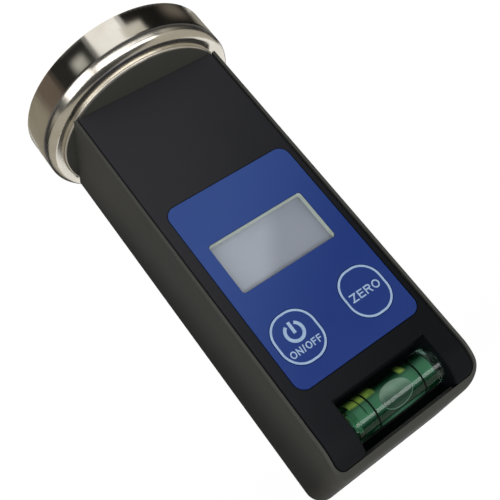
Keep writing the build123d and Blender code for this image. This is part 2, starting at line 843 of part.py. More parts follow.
# The liquid leaves a straight channel free at its top, where the bubble travels
bubble_radius = bubble_diameter / 2
channel_radius = bubble_radius + bubble_gap
bubble_rise = plug_radius - channel_radius
channel_length = bubble_length + 2 * (bubble_travel + bubble_gap)
with BuildPart() as vial_liquid:
    with BuildSketch(vial_along):
        barrel_outline()
    revolve(axis=vial_line)
    with BuildSketch(vial_across.offset(-channel_length / 2)):
        with Locations((0, bubble_rise)):
            Circle(channel_radius)
    extrude(amount=channel_length, mode=Mode.SUBTRACT)
vial_liquid.part.label = "vial_liquid"
export_step(vial_liquid.part, "parts/vial_liquid.step")

bubble_line = Axis((pocket_shift, -vial_level - bubble_rise, vial_z), (1, 0, 0))
with BuildPart() as vial_bubble:
    with BuildSketch(vial_along):
        with Locations((0, bubble_rise)):
            Ellipse(bubble_length / 2, bubble_radius)
        with Locations((0, bubble_rise - bubble_radius)):
            Rectangle(bubble_length, bubble_diameter, mode=Mode.SUBTRACT)
    revolve(axis=bubble_line)
vial_bubble.part.label = "vial_bubble"
export_step(vial_bubble.part, "parts/vial_bubble.step")

# Cradle under the spirit level: a plate with two hollowed saddles
with BuildPart() as vial_cradle:
    with BuildSketch(Plane.XZ.offset(pocket_floor_level)):
        with Locations((pocket_shift, vial_z)):
            Rectangle(pocket_width - 2 * cradle_gap, vial_diameter)
    extrude(amount=cradle_thickness)
    with BuildSketch(Plane.XZ.offset(pocket_floor_level)):
        with Locations((pocket_shift, vial_z)):
            with GridLocations(saddle_spacing, 0, 2, 1):
                Rectangle(saddle_width, vial_diameter)
    extrude(amount=cradle_thickness + saddle_rise)
    with BuildSketch(vial_across.offset(-pocket_width / 2)):
        Circle(vial_diameter / 2)
    extrude(amount=pocket_width, mode=Mode.SUBTRACT)
vial_cradle.part.label = "vial_cradle"
export_step(vial_cradle.part, "parts/vial_cradle.step")


def battery_cell(x, nub_direction, nub_tip_z):
    """Makes one cell at x, with its nub pointing along Z in nub_direction."""
    base_z = nub_tip_z - nub_direction * (cell_length + cell_nub_height)
    base = Plane(origin=(x, -cell_level, base_z), x_dir=(1, 0, 0), z_dir=(0, 0, nub_direction))
    with BuildPart() as cell:
        with BuildSketch(base):
            Circle(cell_diameter / 2)
        extrude(amount=cell_length)
        fillet(cell.edges().filter_by(GeomType.CIRCLE), cell_edge_radius)
        with BuildSketch(base.offset(cell_length)):
            Circle(cell_nub_diameter / 2)
        extrude(amount=cell_nub_height)
    return cell


# Two cells, laid opposite ways between the contact plates
left_x = -cell_pitch / 2
right_x = cell_pitch / 2
start_plate_z = compartment_start_z + contact_thickness
end_plate_z = compartment_end_z - contact_thickness
battery_left = battery_cell(left_x, -1, start_plate_z + contact_gap)
battery_left.part.label = "battery_left"
export_step(battery_left.part, "parts/battery_left.step")

battery_right = battery_cell(right_x, 1, end_plate_z - contact_gap)
battery_right.part.label = "battery_right"
export_step(battery_right.part, "parts/battery_right.step")

# A leaf spans what is left of the compartment's length beside a cell
plate_spacing = end_plate_z - start_plate_z
leaf_reach = plate_spacing - cell_length - cell_nub_height - 2 * contact_gap


def leaf_spring(x, plate_z, direction):
    """Makes a bowed leaf that stands on a contact plate at x and presses on a cell's base."""
    outer_foot = leaf_height / 2
    inner_foot = outer_foot - contact_thickness
    outer_tip_z = plate_z + direction * leaf_reach
    inner_tip_z = outer_tip_z - direction * contact_thickness
    with BuildSketch(Plane.YZ.offset(x - leaf_width / 2)) as section:
        with BuildLine():
            ThreePointArc(
                (-cell_level - outer_foot, plate_z),
                (-cell_level, outer_tip_z),
                (-cell_level + outer_foot, plate_z),
            )
            Line((-cell_level + outer_foot, plate_z), (-cell_level + inner_foot, plate_z))
            ThreePointArc(
                (-cell_level + inner_foot, plate_z),
                (-cell_level, inner_tip_z),
                (-cell_level - inner_foot, plate_z),
            )
            Line((-cell_level - inner_foot, plate_z), (-cell_level - outer_foot, plate_z))
        make_face()
    extrude(section.sketch, amount=leaf_width)


def tailed_plate(x):
    """Makes a contact plate at the compartment's nose end, with a tail up through its slot."""
    tail_end_level = roof_level + tail_height
    with BuildSketch(Plane.XY.offset(end_plate_z)) as plate:
        with Locations((x, -cell_level)):
            Rectangle(contact_width, contact_height)
        with Locations((x, -(cell_level + tail_end_level) / 2)):
            Rectangle(tail_width, tail_end_level - cell_level)
    extrude(plate.sketch, amount=contact_thickness)


with BuildPart() as contact_negative:
    tailed_plate(left_x)
    leaf_spring(left_x, end_plate_z, -1)
contact_negative.part.label = "contact_negative"
export_step(contact_negative.part, "parts/contact_negative.step")

with BuildPart() as contact_positive:
    tailed_plate(right_x)
contact_positive.part.label = "contact_positive"
export_step(contact_positive.part, "parts/contact_positive.step")

with BuildPart() as contact_bridge:
    with BuildSketch(Plane.XY.offset(compartment_start_z)):
        with Locations((0, -cell_level)):
            Rectangle(cell_pitch + contact_width, contact_height)
    extrude(amount=contact_thickness)
    leaf_spring(right_x, start_plate_z, 1)
contact_bridge.part.label = "contact_bridge"
export_step(contact_bridge.part, "parts/contact_bridge.step")


def battery_lead(x):
    """Makes one insulated lead from a contact's tail, over the compartment, up to the board."""
    lead_level = roof_level + lead_rise
    board_place_z = board_end_z - lead_board_inset
    start = Plane(origin=(x, -lead_level, end_plate_z), x_dir=(1, 0, 0), z_dir=(0, 0, -1))
    with BuildPart() as lead:
        with BuildLine() as route:
            FilletPolyline(
                (x, -lead_level, end_plate_z),
                (x, -lead_level, board_place_z),
                (x, -board_back_level, board_place_z),
                radius=lead_bend_radius,
            )
        with BuildSketch(start):
            Circle(lead_diameter / 2)
        sweep(path=route.wires()[0])
    return lead


lead_red = battery_lead(right_x)
lead_red.part.label = "lead_red"
export_step(lead_red.part, "parts/lead_red.step")

lead_black = battery_lead(left_x)
lead_black.part.label = "lead_black"
export_step(lead_black.part, "parts/lead_black.step")

# Battery door: a plate with a tongue along each side that slides out at the nose
door_z = door_start_z + door_length / 2
with BuildPart() as battery_door:
    with BuildSketch(Plane.XZ.offset(back_level)):
        with Locations((0, door_z)):
            Rectangle(door_width, door_length)
    extrude(amount=door_thickness)
    with BuildSketch(Plane.XZ.offset(tongue_base_level)):
        with Locations((0, door_z)):
            Rectangle(2 * tongue_half_width, door_length)
    extrude(amount=door_tongue_thickness)
    end_edge = battery_door.faces().sort_by(Axis.Y)[-1].edges().sort_by(Axis.Z)[-1]
    fillet(end_edge, back_edge_radius - door_gap)
    with BuildSketch(Plane.XZ.offset(back_level)):
        with Locations((0, body_end_z - grip_place)):
            with GridLocations(0, grip_pitch, 1, grip_count):
                SlotOverall(grip_length, grip_width)
    extrude(amount=grip_depth, mode=Mode.SUBTRACT)
battery_door.part.label = "battery_door"
export_step(battery_door.part, "parts/battery_door.step")
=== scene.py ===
"""Looks of a handheld digital camber gauge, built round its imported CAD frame.

The gauge stands on its pot magnet: +Z runs along the housing and the display faces -Y. The
classes hold their sizes in millimetres, and a mesh is turned to metres where it is made.
"""

import logging
import math
from dataclasses import dataclass
from enum import Enum

import bmesh
import bpy
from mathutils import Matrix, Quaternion, Vector


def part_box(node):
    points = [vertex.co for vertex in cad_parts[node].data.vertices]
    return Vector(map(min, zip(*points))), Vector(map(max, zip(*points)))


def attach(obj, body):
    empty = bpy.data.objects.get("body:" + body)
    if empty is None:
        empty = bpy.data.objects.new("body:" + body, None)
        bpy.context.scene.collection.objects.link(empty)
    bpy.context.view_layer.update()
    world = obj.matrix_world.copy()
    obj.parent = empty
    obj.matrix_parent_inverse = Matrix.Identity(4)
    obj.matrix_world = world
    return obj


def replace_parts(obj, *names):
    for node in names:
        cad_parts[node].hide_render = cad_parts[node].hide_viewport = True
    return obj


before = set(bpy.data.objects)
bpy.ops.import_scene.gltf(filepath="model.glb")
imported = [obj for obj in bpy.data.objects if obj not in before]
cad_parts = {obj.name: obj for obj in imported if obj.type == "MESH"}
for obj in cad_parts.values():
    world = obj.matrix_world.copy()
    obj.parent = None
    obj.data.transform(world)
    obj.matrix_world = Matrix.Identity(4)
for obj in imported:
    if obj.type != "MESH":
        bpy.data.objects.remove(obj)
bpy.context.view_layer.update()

LOG = logging.getLogger("camber_gauge")
MM = 0.001
ARC_STEP_DEGREES = 6
MERGE_MM = 0.001
SMOOTH_DEGREES = 40
WHITE = "#FFFFFF"
SCHLICK_POWER = 5.0
LETTER_WIDTHS = {"O": 0.86, "N": 0.74, "/": 0.34, "F": 0.62, "Z": 0.76, "E": 0.68, "R": 0.76}

Point = tuple[float, float]
Place = tuple[float, float, float]
Colour = tuple[float, float, float, float]
Face = tuple[int, ...]
Tree = bpy.types.NodeTree
Source = bpy.types.Node | bpy.types.NodeSocket


class Body(Enum):
    """The CAD bodies that pieces ride on."""

    GAUGE = "gauge"
    ON_OFF_BUTTON = "on_off_button"
    ZERO_BUTTON = "zero_button"
    BUBBLE = "bubble"


def linear(hex_colour: str) -> Colour:
    """Turns an sRGB hex colour to linear light.

    Args:
        hex_colour: Six hex digits after a hash sign.

    Returns:
        The linear red, green and blue, and an alpha of 1.
    """
    parts = [int(hex_colour[i : i + 2], 16) / 255 for i in (1, 3, 5)]
    red, green, blue = (
        part / 12.92 if part <= 0.04045 else ((part + 0.055) / 1.055) ** 2.4 for part in parts
    )
    return (red, green, blue, 1.0)


def add_node(
    tree: Tree,
    kind: str,
    *sources: object,
    inputs: dict | None = None,
    stops: tuple[tuple[float, str], ...] = (),
    **settings: object,
) -> bpy.types.Node:
    """Adds a node with its settings, and with what feeds its input sockets.

    A socket is fed by a node's first output, by another output, or by a plain value.

    Args:
        tree: The node tree that gets the node.
        kind: The node's type, without the words that all shader nodes' types start with.
        sources: What feeds the first input sockets, in their order.
        inputs: What feeds other input sockets, by their names or numbers.
        stops: A colour ramp's places and colours, from first to last.
        settings: The node's own properties.

    Returns:
        The new node.
    """
    node = tree.nodes.new("ShaderNode" + kind)
    for name, value in settings.items():
        setattr(node, name, value)
    for socket, source in [*enumerate(sources), *(inputs or {}).items()]:
        if isinstance(source, bpy.types.Node):
            source = source.outputs[0]
        if isinstance(source, bpy.types.NodeSocket):
            tree.links.new(source, node.inputs[socket])
        else:
            node.inputs[socket].default_value = source
    if stops:
        elements = node.color_ramp.elements
        elements[0].position, elements[1].position = stops[0][0], stops[-1][0]
        elements[0].color, elements[1].color = linear(stops[0][1]), linear(stops[-1][1])
        for share, colour in stops[1:-1]:
            elements.new(share).color = linear(colour)
    return node


def patches(size_mm: float, detail: float) -> dict[str, float]:
    """What a noise is set to for soft patches about size_mm across."""
    return {"Scale": 1 / (size_mm * MM), "Detail": detail}


def window(tree: Tree, value: Source, low: float, high: float, soft: float) -> Source:
    """Makes a share that is 1 from low to high, and falls to 0 round both ends.

    Args:
        tree: The material's node tree.
        value: What is compared with both ends.
        low: The lower end.
        high: The upper end.
        soft: How far each fall reaches to either side of its end.

    Returns:
        The share.
    """
    sides = [
        add_node(tree, "MapRange", value, start, end, interpolation_type="SMOOTHSTEP")
        for start, end in ((low - soft, low + soft), (high + soft, high - soft))
    ]
    return add_node(tree, "Math", *sides, operation="MULTIPLY")


def clear_tree(owner: bpy.types.ID) -> Tree:
    """Empties the node tree of a material or a world, and hands it out.

    Args:
        owner: The material or the world.

    Returns:
        Its empty tree.
    """
    owner.use_nodes = True
    owner.node_tree.nodes.clear()
    return owner.node_tree


def add_object(name: str, data: bpy.types.ID) -> bpy.types.Object:
    """Puts a mesh, lamp or camera into the scene under its name.

    Args:
        name: Its name.
        data: The mesh, lamp or camera.

    Returns:
        The new object.
    """
    made = bpy.data.objects.new(name, data)
    bpy.context.scene.collection.objects.link(made)
    return made


def new_mesh(name: str, vertices: list[Vector], faces: list[Face]) -> bpy.types.Mesh:
    """Makes a mesh, in metres, from points in millimetres.

    Args:
        name: Its name.
        vertices: Its points, in millimetres.
        faces: Its faces as numbers of those points.

    Returns:
        The mesh.
    """
    mesh = bpy.data.meshes.new(name)
    mesh.from_pydata([point * MM for point in vertices], [], faces)
    return mesh


def weave(rows: int, count: int, first: int = 0) -> list[Face]:
    """Joins closed rows of points with four-sided faces, each row to the next.

    Args:
        rows: How many rows there are.
        count: How many points each has.
        first: The number of the first row's first point.

    Returns:
        The faces as numbers of the points.
    """
    return [
        (row + i, row + count + i, row + count + (i + 1) % count, row + (i + 1) % count)
        for row in range(first, first + (rows - 1) * count, count)
        for i in range(count)
    ]


@dataclass(frozen=True)
class Finish:
    """A solid surface: two near colours in soft patches, with a fine grain in its relief.

    The patches and the grain follow the place on the object in real millimetres.
    """

    name: str
    light: str
    dark: str
    patch_mm: float
    roughness: float
    grain_mm: float
    grain_depth_mm: float
    roughness_spread: float = 0.05
    metallic: float = 0.0
    ior: float = 1.5
    coat: float = 0.0
    transmission: float = 0.0
    stretch: Place = (1.0, 1.0, 1.0)
    coat_roughness: float = 0.1
    dark_share: float = 0.3
    light_share: float = 0.7

    def material(self) -> bpy.types.Material:
        """Makes the material once, and hands out the same one after that.

        Returns:
            The material with its node tree.
        """
        made = bpy.data.materials.get(self.name)
        if made:
            return made
        made = bpy.data.materials.new(self.name)
        tree = clear_tree(made)
        add_node(tree, "OutputMaterial", self.surface(tree, self.place(tree)))
        return made

    def surface(self, tree: Tree, place: Source) -> Source:
        """The shader of the whole surface.

        Args:
            tree: The material's node tree.
            place: The place on the object.

        Returns:
            The shader.
        """
        inputs = {
            "Metallic": self.metallic,
            "Coat Weight": self.coat,
            "Coat Roughness": self.coat_roughness,
            "Transmission Weight": self.transmission,
            "Base Color": self.colour(tree, place),
            "Roughness": self.gloss(tree, place),
            "Normal": self.relief(tree, place),
        }
        if not self.metallic:
            inputs["IOR"] = self.ior
        return add_node(tree, "BsdfPrincipled", inputs=inputs)

    def place(self, tree: Tree) -> Source:
        """The place on the object in metres, stretched where the pattern runs one way."""
        spot = add_node(tree, "TexCoord").outputs["Object"]
        return add_node(tree, "Mapping", spot, inputs={"Scale": self.stretch})

    def colour(self, tree: Tree, place: Source) -> Source:
        """The base colour, from dark to light in soft patches.

        Args:
            tree: The material's node tree.
            place: The place on the object.

        Returns:
            The colour.
        """
        noise = add_node(tree, "TexNoise", place, inputs=patches(self.patch_mm, detail=3.0))
        stops = ((self.dark_share, self.dark), (self.light_share, self.light))
        return add_node(tree, "ValToRGB", noise, stops=stops)

    def gloss(self, tree: Tree, place: Source) -> Source:
        """The roughness, spread a little round its middle value.

        Args:
            tree: The material's node tree.
            place: The place on the object.

        Returns:
            The roughness.
        """
        noise = add_node(tree, "TexNoise", place, inputs=patches(self.patch_mm / 2, detail=4.0))
        least = self.roughness - self.roughness_spread
        most = self.roughness + self.roughness_spread
        return add_node(tree, "MapRange", noise, 0.0, 1.0, least, most)

    def relief(self, tree: Tree, place: Source) -> Source:
        """The bump of the surface's grain."""
        grain = add_node(tree, "TexNoise", place, inputs=patches(self.grain_mm, detail=2.0))
        return add_node(tree, "Bump", inputs={"Distance": self.grain_depth_mm * MM, "Height": grain})


@dataclass(frozen=True)
class ClearFinish(Finish):
    """A clear piece that lets what lies behind it show, with the gloss of its surface.

    It is see-through rather than refracting, so a thin clear piece doesn't keep the light
    from what lies under it.
    """

    tint: str = WHITE
    clearness: float = 0.9

    def surface(self, tree: Tree, place: Source) -> Source:
        """A tinted see-through layer and a share of solid colour under a clear gloss.

        Args:
            tree: The material's node tree.
            place: The place on the object.

        Returns:
            The shader.
        """
        clear = add_node(tree, "BsdfTransparent", linear(self.tint))
        solid = super().surface(tree, place)
        mixed = add_node(tree, "MixShader", 1 - self.clearness, clear, solid)
        gloss = add_node(tree, "BsdfGlossy", inputs={"Roughness": self.roughness})
        return add_node(tree, "MixShader", self.sheen(tree), mixed, gloss)

    def sheen(self, tree: Tree) -> Source:
        """The share that the face mirrors, the same from inside as from outside.

        It follows Schlick's curve, because a Fresnel node would close the back faces to
        light that isn't bent on its way in.

        Args:
            tree: The material's node tree.

        Returns:
            The share.
        """
        head_on = ((self.ior - 1) / (self.ior + 1)) ** 2
        away = add_node(tree, "LayerWeight").outputs["Facing"]
        rise = add_node(tree, "Math", away, SCHLICK_POWER, operation="POWER")
        return add_node(tree, "Math", rise, 1 - head_on, head_on, operation="MULTIPLY_ADD")


@dataclass(frozen=True)
class LensFinish(ClearFinish):
    """A clear sheet whose sawn edges are frosted, in a pale colour that partly paints the light
    gathering in them.
    """

    frost_and_painted_glow: str = "#C9D2C8"
    face_share: float = 0.7

    def surface(self, tree: Tree, place: Source) -> Source:
        """The clear face, and the frosted sides wherever the surface faces Y too little.

        Args:
            tree: The material's node tree.
            place: The place on the object.

        Returns:
            The shader.
        """
        way = add_node(tree, "TexCoord").outputs["Normal"]
        across = add_node(tree, "SeparateXYZ", way).outputs["Y"]
        facing = add_node(tree, "Math", across, operation="ABSOLUTE")
        side = add_node(tree, "Math", facing, self.face_share, operation="LESS_THAN")
        frosted = add_node(tree, "BsdfDiffuse", linear(self.frost_and_painted_glow))
        return add_node(tree, "MixShader", side, super().surface(tree, place), frosted)


@dataclass(frozen=True)
class GlassFinish(Finish):
    """A thick clear piece that bends what lies behind it, and lets the light in."""

    tint: str = WHITE

    def surface(self, tree: Tree, place: Source) -> Source:
        """Refracting, but plainly clear to the rays that carry light to what is inside.

        Args:
            tree: The material's node tree.
            place: The place on the object.

        Returns:
            The shader.
        """
        path = add_node(tree, "LightPath").outputs
        carrying = add_node(
            tree, "Math", path["Is Shadow Ray"], path["Is Diffuse Ray"], operation="MAXIMUM"
        )
        clear = add_node(tree, "BsdfTransparent", linear(self.tint))
        return add_node(tree, "MixShader", carrying, super().surface(tree, place), clear)


@dataclass(frozen=True)
class GradedFinish(Finish):
    """A surface whose light and dark colours change over along one direction, as painted light and
    shade.
    """

    along: Place = (1.0, 0.0, 0.0)
    start_mm: float = -5.0
    end_mm: float = 5.0
    wander_mm: float = 0.0

    def colour(self, tree: Tree, place: Source) -> Source:
        """The base colour, dark up to the start and light from the end on.

        Args:
            tree: The material's node tree.
            place: The place on the object.

        Returns:
            The colour.
        """
        way = add_node(tree, "VectorMath", place, self.along, operation="DOT_PRODUCT")
        noise = add_node(tree, "TexNoise", place, inputs=patches(self.patch_mm, detail=2.0))
        reach = add_node(
            tree, "Math", noise, self.wander_mm * MM, way.outputs["Value"], operation="MULTIPLY_ADD"
        )
        start, end = self.start_mm * MM, self.end_mm * MM
        share = add_node(tree, "MapRange", reach, start, end, interpolation_type="SMOOTHSTEP")
        return add_node(tree, "ValToRGB", share, stops=((0.0, self.dark), (1.0, self.light)))


@dataclass(frozen=True)
class RolledFinish(Finish):
    """Plate whose edge looks rolled well down the wall, as polishing leaves it.

    The roll starts and ends at heights over the floor. It sinks by its depth in between.
    """

    roll_start_mm: float = 8.2
    roll_end_mm: float = 12.9
    roll_depth_mm: float = 1.9
    dull_end_mm: float = 13.4
    dull_roughness: float = 0.2

    def gloss(self, tree: Tree, place: Source) -> Source:
        """The roughness, higher from the roll on up to the housing.

        Args:
            tree: The material's node tree.
            place: The place on the object.

        Returns:
            The roughness.
        """
        height = add_node(tree, "SeparateXYZ", place).outputs["Z"]
        start, end = self.roll_end_mm * MM, self.dull_end_mm * MM
        more = add_node(tree, "MapRange", height, start, end, 0.0, self.dull_roughness)
        return add_node(tree, "Math", super().gloss(tree, place), more, operation="ADD")

    def relief(self, tree: Tree, place: Source) -> Source:
        """The bump of the roll over that of the grain.

        Args:
            tree: The material's node tree.
            place: The place on the object.

        Returns:
            The normal.
        """
        height = add_node(tree, "SeparateXYZ", place).outputs["Z"]
        start, end, depth = (
            size * MM for size in (self.roll_start_mm, self.roll_end_mm, self.roll_depth_mm)
        )
        sunk = add_node(
            tree, "MapRange", height, start, end, 0.0, -depth, interpolation_type="SMOOTHSTEP"
        )
        inputs = {"Distance": 1.0, "Height": sunk, "Normal": super().relief(tree, place)}
        return add_node(tree, "Bump", inputs=inputs)


@dataclass(frozen=True)
class SpiritFinish(ClearFinish):
    """Dyed spirit in a round bore, which bends the light like a strong lens.

    Its colour paints shade along both edges, and gathered yellow light along parts of one edge.
    """

    painted_near_shade: str = "#10241A"
    painted_near_rim_shade: str = "#27523C"
    painted_far_light: str = "#8DB5A0"
    painted_gathered_light: str = "#F2F87A"
    middle_z_mm: float = 116.6
    half_width_mm: float = 3.44
    lit_share: Point = (0.02, 0.19)
    lit_share_edge: float = 0.05
    lit_stretches_mm: tuple[Point, ...] = ((2.9, 11.5), (-6.6, -4.9))
    stretch_edge_mm: float = 0.4
    patch_reach: Point = (0.35, 0.55)
    patch_least: float = 0.5
    painted_far_line: str = "#1C3526"
    far_line_mm: Point = (7.75, 8.1)
    far_line_edge_mm: float = 0.15
    far_line_share: Point = (-1.0, 0.55)
    far_line_share_edge: float = 0.12

    def colour(self, tree: Tree, place: Source) -> Source:
        """The dye's colour with painted shade and light across the bore, and painted yellow stretches.

        A soft dark line is painted where the far side of one ring line would show through.

        Args:
            tree: The material's node tree.
            place: The place on the object.

        Returns:
            The colour.
        """
        ways = add_node(tree, "SeparateXYZ", place).outputs
        rims = [(self.middle_z_mm + sign * self.half_width_mm) * MM for sign in (-1, 1)]
        across = add_node(tree, "MapRange", ways["Z"], *rims)
        # Painted shade near both edges, a painted lit band between, and a painted light line at the far
        # edge
        stops = (
            (0.04, self.painted_near_shade),
            (0.16, self.painted_near_rim_shade),
            (0.3, self.light),
            (0.66, self.light),
            (0.8, self.dark),
            (0.97, self.dark),
            (1.0, self.painted_far_light),
        )
        dye_and_painted_shade = add_node(tree, "ValToRGB", across, stops=stops)
        # Painted yellow light, as a lens gathers it, along stretches of the one edge
        edge = window(tree, across, *self.lit_share, self.lit_share_edge)
        stretches = [
            window(tree, ways["X"], low * MM, high * MM, self.stretch_edge_mm * MM)
            for low, high in self.lit_stretches_mm
        ]
        lit = add_node(tree, "Math", *stretches, operation="MAXIMUM")
        noise = add_node(tree, "TexNoise", place, inputs=patches(self.patch_mm, detail=1.0))
        broken = add_node(tree, "MapRange", noise, *self.patch_reach, self.patch_least)
        patch = add_node(tree, "Math", edge, broken, operation="MULTIPLY")
        share = add_node(tree, "Math", patch, lit, operation="MULTIPLY")
        inputs = {0: share, 6: dye_and_painted_shade, 7: linear(self.painted_gathered_light)}
        with_painted_glow = add_node(tree, "Mix", inputs=inputs, data_type="RGBA").outputs[2]
        # Painted dark line where the ring's far side would show through the spirit
        low, high = self.far_line_mm
        line = window(tree, ways["X"], low * MM, high * MM, self.far_line_edge_mm * MM)
        half = window(tree, across, *self.far_line_share, self.far_line_share_edge)
        far = add_node(tree, "Math", line, half, operation="MULTIPLY")
        inputs = {0: far, 6: with_painted_glow, 7: linear(self.painted_far_line)}
        return add_node(tree, "Mix", inputs=inputs, data_type="RGBA").outputs[2]


# The real grain of the moulded, printed, ground, turned and drawn surfaces below is about 0.05
# to 0.15 mm across, too fine to show in the render. It is drawn at 0.15 to 0.4 mm instead.

# Bright nickel plate over turned steel: mirror-like, slightly warm, a little wavy
NICKEL_PLATE = RolledFinish(
    "nickel_plate_polished", "#E6E1D6", "#D6D0C3", 9.0, 0.2, 5.0, 0.006, 0.04, 1.0
)
# Bright zinc plate: greyer and softer than nickel, with the turning still in it
ZINC_PLATE = Finish("zinc_plate_bright", "#C9CCCF", "#A9ADB2", 3.0, 0.28, 0.3, 0.004, 0.06, 1.0)
# Ground ferrite: dull dark grey ceramic, a little rough from the grit, with a faint sheen
FERRITE = Finish("ferrite_ground", "#47474A", "#333336", 2.5, 0.5, 0.35, 0.012, 0.08)
# Cast epoxy: black and glossy, with the slight waves it set in
EPOXY = Finish("epoxy_cast_black", "#1B1B1D", "#101012", 4.0, 0.22, 2.0, 0.03, 0.05)
# Spark-textured ABS of the case: warm black with a satin grain, drawn coarser than it is, and
# a little greyer towards its front and its magnet end as painted light
CASE_ABS_PAINTED_LIGHT = GradedFinish(
    "abs_moulded_warm_black_painted_light", "#41413D", "#282825", 9.0, 0.65, 0.35, 0.012, 0.05, ior=1.34,
    along=(0.0, -0.99, -0.13), start_mm=-23.0, end_mm=1.0, wander_mm=4.0,
)
# The same ABS on the cover, a little bluer, with a painted sheen towards the magnet end and
# +X, and painted shade that is blackest towards the level
COVER_ABS_PAINTED_LIGHT = GradedFinish(
    "abs_moulded_blue_black_painted_light", "#2B2B2F", "#04080E", 12.0, 0.75, 0.35, 0.01, 0.05, ior=1.3,
    along=(0.7, 0.0, -0.7), start_mm=-85.0, end_mm=-5.0, wander_mm=8.0,
)
# Screen-printed polycarbonate film: blue with a velvet texture, drawn coarser than it is, and
# lighter towards the magnet end as a painted sheen
BLUE_FILM_PAINTED_SHEEN = GradedFinish(
    "polycarbonate_film_blue_painted_sheen", "#274588", "#002C78", 16.0, 0.5, 0.25, 0.006, 0.05,
    along=(0.6, 0.0, -0.8), start_mm=-78.0, end_mm=-40.0,
)
# Screen-print ink on the film: pale blue grey, a touch rougher
PALE_INK = Finish("screen_ink_pale_blue", "#9DB4CE", "#8FA8C6", 1.5, 0.6, 0.2, 0.004, 0.04)
# Moulded glass-filled nylon: dull black, slightly uneven from its fibres
NYLON = Finish("nylon_moulded_black", "#1A1A1A", "#101010", 4.0, 0.6, 0.4, 0.015, 0.05)
# Moulded acetal of the switch plungers: waxy cream with a soft sheen
ACETAL = Finish("acetal_moulded_cream", "#D9D2BE", "#C8C0AA", 3.0, 0.4, 0.4, 0.006, 0.04)
# Polariser on the display's glass: pale grey, lighter towards one end as a painted reflection
# of a lamp in its film
POLARISER_PAINTED_REFLECTION = GradedFinish(
    "polariser_film_grey_painted_reflection", "#CACEDA", "#B0B4C2", 12.0, 0.35, 0.3, 0.003, 0.04,
    along=(0.81, 0.0, -0.587), start_mm=-45.0, end_mm=-38.0,
)
# Layered silicone rubber of the connector strips: dull, with fine lines across their length
SILICONE = Finish(
    "silicone_layered", "#3A3436", "#1D1B1D", 0.5, 0.6, 0.3, 0.01, 0.04, stretch=(4.0, 0.2, 0.2)
)
# Glass-epoxy laminate under green solder mask, with the tracks showing faintly through
LAMINATE = Finish("laminate_solder_mask", "#1F6B3A", "#15512B", 2.0, 0.3, 1.2, 0.02, 0.05, coat=0.3)
# Moulded epoxy of the chip: matte black
CHIP_EPOXY = Finish("epoxy_moulded_chip", "#232323", "#171717", 2.0, 0.55, 0.2, 0.008, 0.05)
# Drawn steel lids of the sensor and crystal: bright, with faint streaks one way
DRAWN_STEEL = Finish(
    "drawn_steel_lid", "#CFD0D2", "#AEB0B4", 1.0, 0.25, 0.15, 0.003, 0.06, 1.0, stretch=(0.3, 1.0, 3.0)
)
# Fired ceramic of the capacitors: dry and brown, with a faint mottle
CERAMIC = Finish("ceramic_fired_brown", "#A88357", "#8F6C44", 0.8, 0.65, 0.2, 0.006, 0.04)
# Lacquer in the level's ring grooves: matt black
RING_LACQUER = Finish("lacquer_black_line", "#0A0C0B", "#060707", 1.0, 0.7, 0.2, 0.003, 0.05, ior=1.15)
# Shrink sleeve of the cells: dark grey, smooth and slightly rippled
CELL_SLEEVE = Finish("shrink_sleeve_grey", "#53565B", "#3F4246", 5.0, 0.3, 3.0, 0.03, 0.05, coat=0.2)
# Nickel-plated spring steel of the contacts: bright and slightly warm
SPRING_NICKEL = Finish("nickel_plate_spring", "#D2CCC0", "#B8B2A6", 2.0, 0.22, 0.4, 0.003, 0.05, 1.0)
# Extruded PVC of the leads: smooth, with a soft sheen
RED_PVC = Finish("pvc_extruded_red", "#B3231C", "#971A15", 2.0, 0.35, 0.5, 0.006, 0.05)
BLACK_PVC = Finish("pvc_extruded_black", "#1A1A1B", "#101011", 2.0, 0.35, 0.5, 0.006, 0.05)
# Cast acrylic of the lens: clear, with a polished face, and frosted sawn edges whose pale colour
# is partly a painted glow of light gathered in them
LENS_ACRYLIC = LensFinish(
    "acrylic_lens_clear", "#EEF2F2", "#E4EAEA", 8.0, 0.06, 6.0, 0.001, 0.02, ior=1.49,
    tint="#FDFEFE", clearness=0.98,
)
# Extruded acrylic of the level's tube: thick, clear and polished, so the spirit in it looks
# as wide as the tube
VIAL_ACRYLIC = GlassFinish(
    "acrylic_vial_clear", "#B4E0CC", "#9CD4BC", 5.0, 0.08, 4.0, 0.0005, 0.01, ior=1.49,
    transmission=1.0, tint="#E6F6EE",
)
# The plug cemented into the tube's end: acrylic whose green colour is a painted glow of the
# spirit's light beside it
PLUG_ACRYLIC = Finish("acrylic_plug_painted_glow", "#5F9A74", "#467A58", 1.6, 0.3, 4.0, 0.001, 0.05, ior=1.1)
# Dyed spirit of the level: clear green, with painted shade and light across the bore and a
# painted yellow glow where light gathers in it. Its faces hardly mirror, because the acrylic
# round it bends light almost as much
VIAL_SPIRIT = SpiritFinish(
    "spirit_dyed_green_painted_light", "#5F8A70", "#0F3A28", 2.4, 0.2, 4.0, 0.001, 0.01, ior=1.05,
    tint="#4FB48C", clearness=0.3,
)
# The bubble: a painted milky-grey reflection of the room's light towards the magnet, grading
# to dark green on the other side, painted where the spirit behind it would show
AIR_BUBBLE_PAINTED_REFLECTION = GradedFinish(
    "air_bubble_painted_reflection", "#22362C", "#9A9E94", 4.0, 0.25, 2.0, 0.001, 0.02, ior=1.33,
    along=(0.0, 0.0, 1.0), start_mm=116.4, end_mm=119.6, wander_mm=2.4,
)
# The spirit's raised edge along the bubble's lower side, coloured bright as a painted highlight line
MENISCUS_PAINTED_HIGHLIGHT = Finish("spirit_meniscus_painted_highlight", "#8B9C92", "#6E8278", 3.0, 0.2, 1.0, 0.001, 0.02)


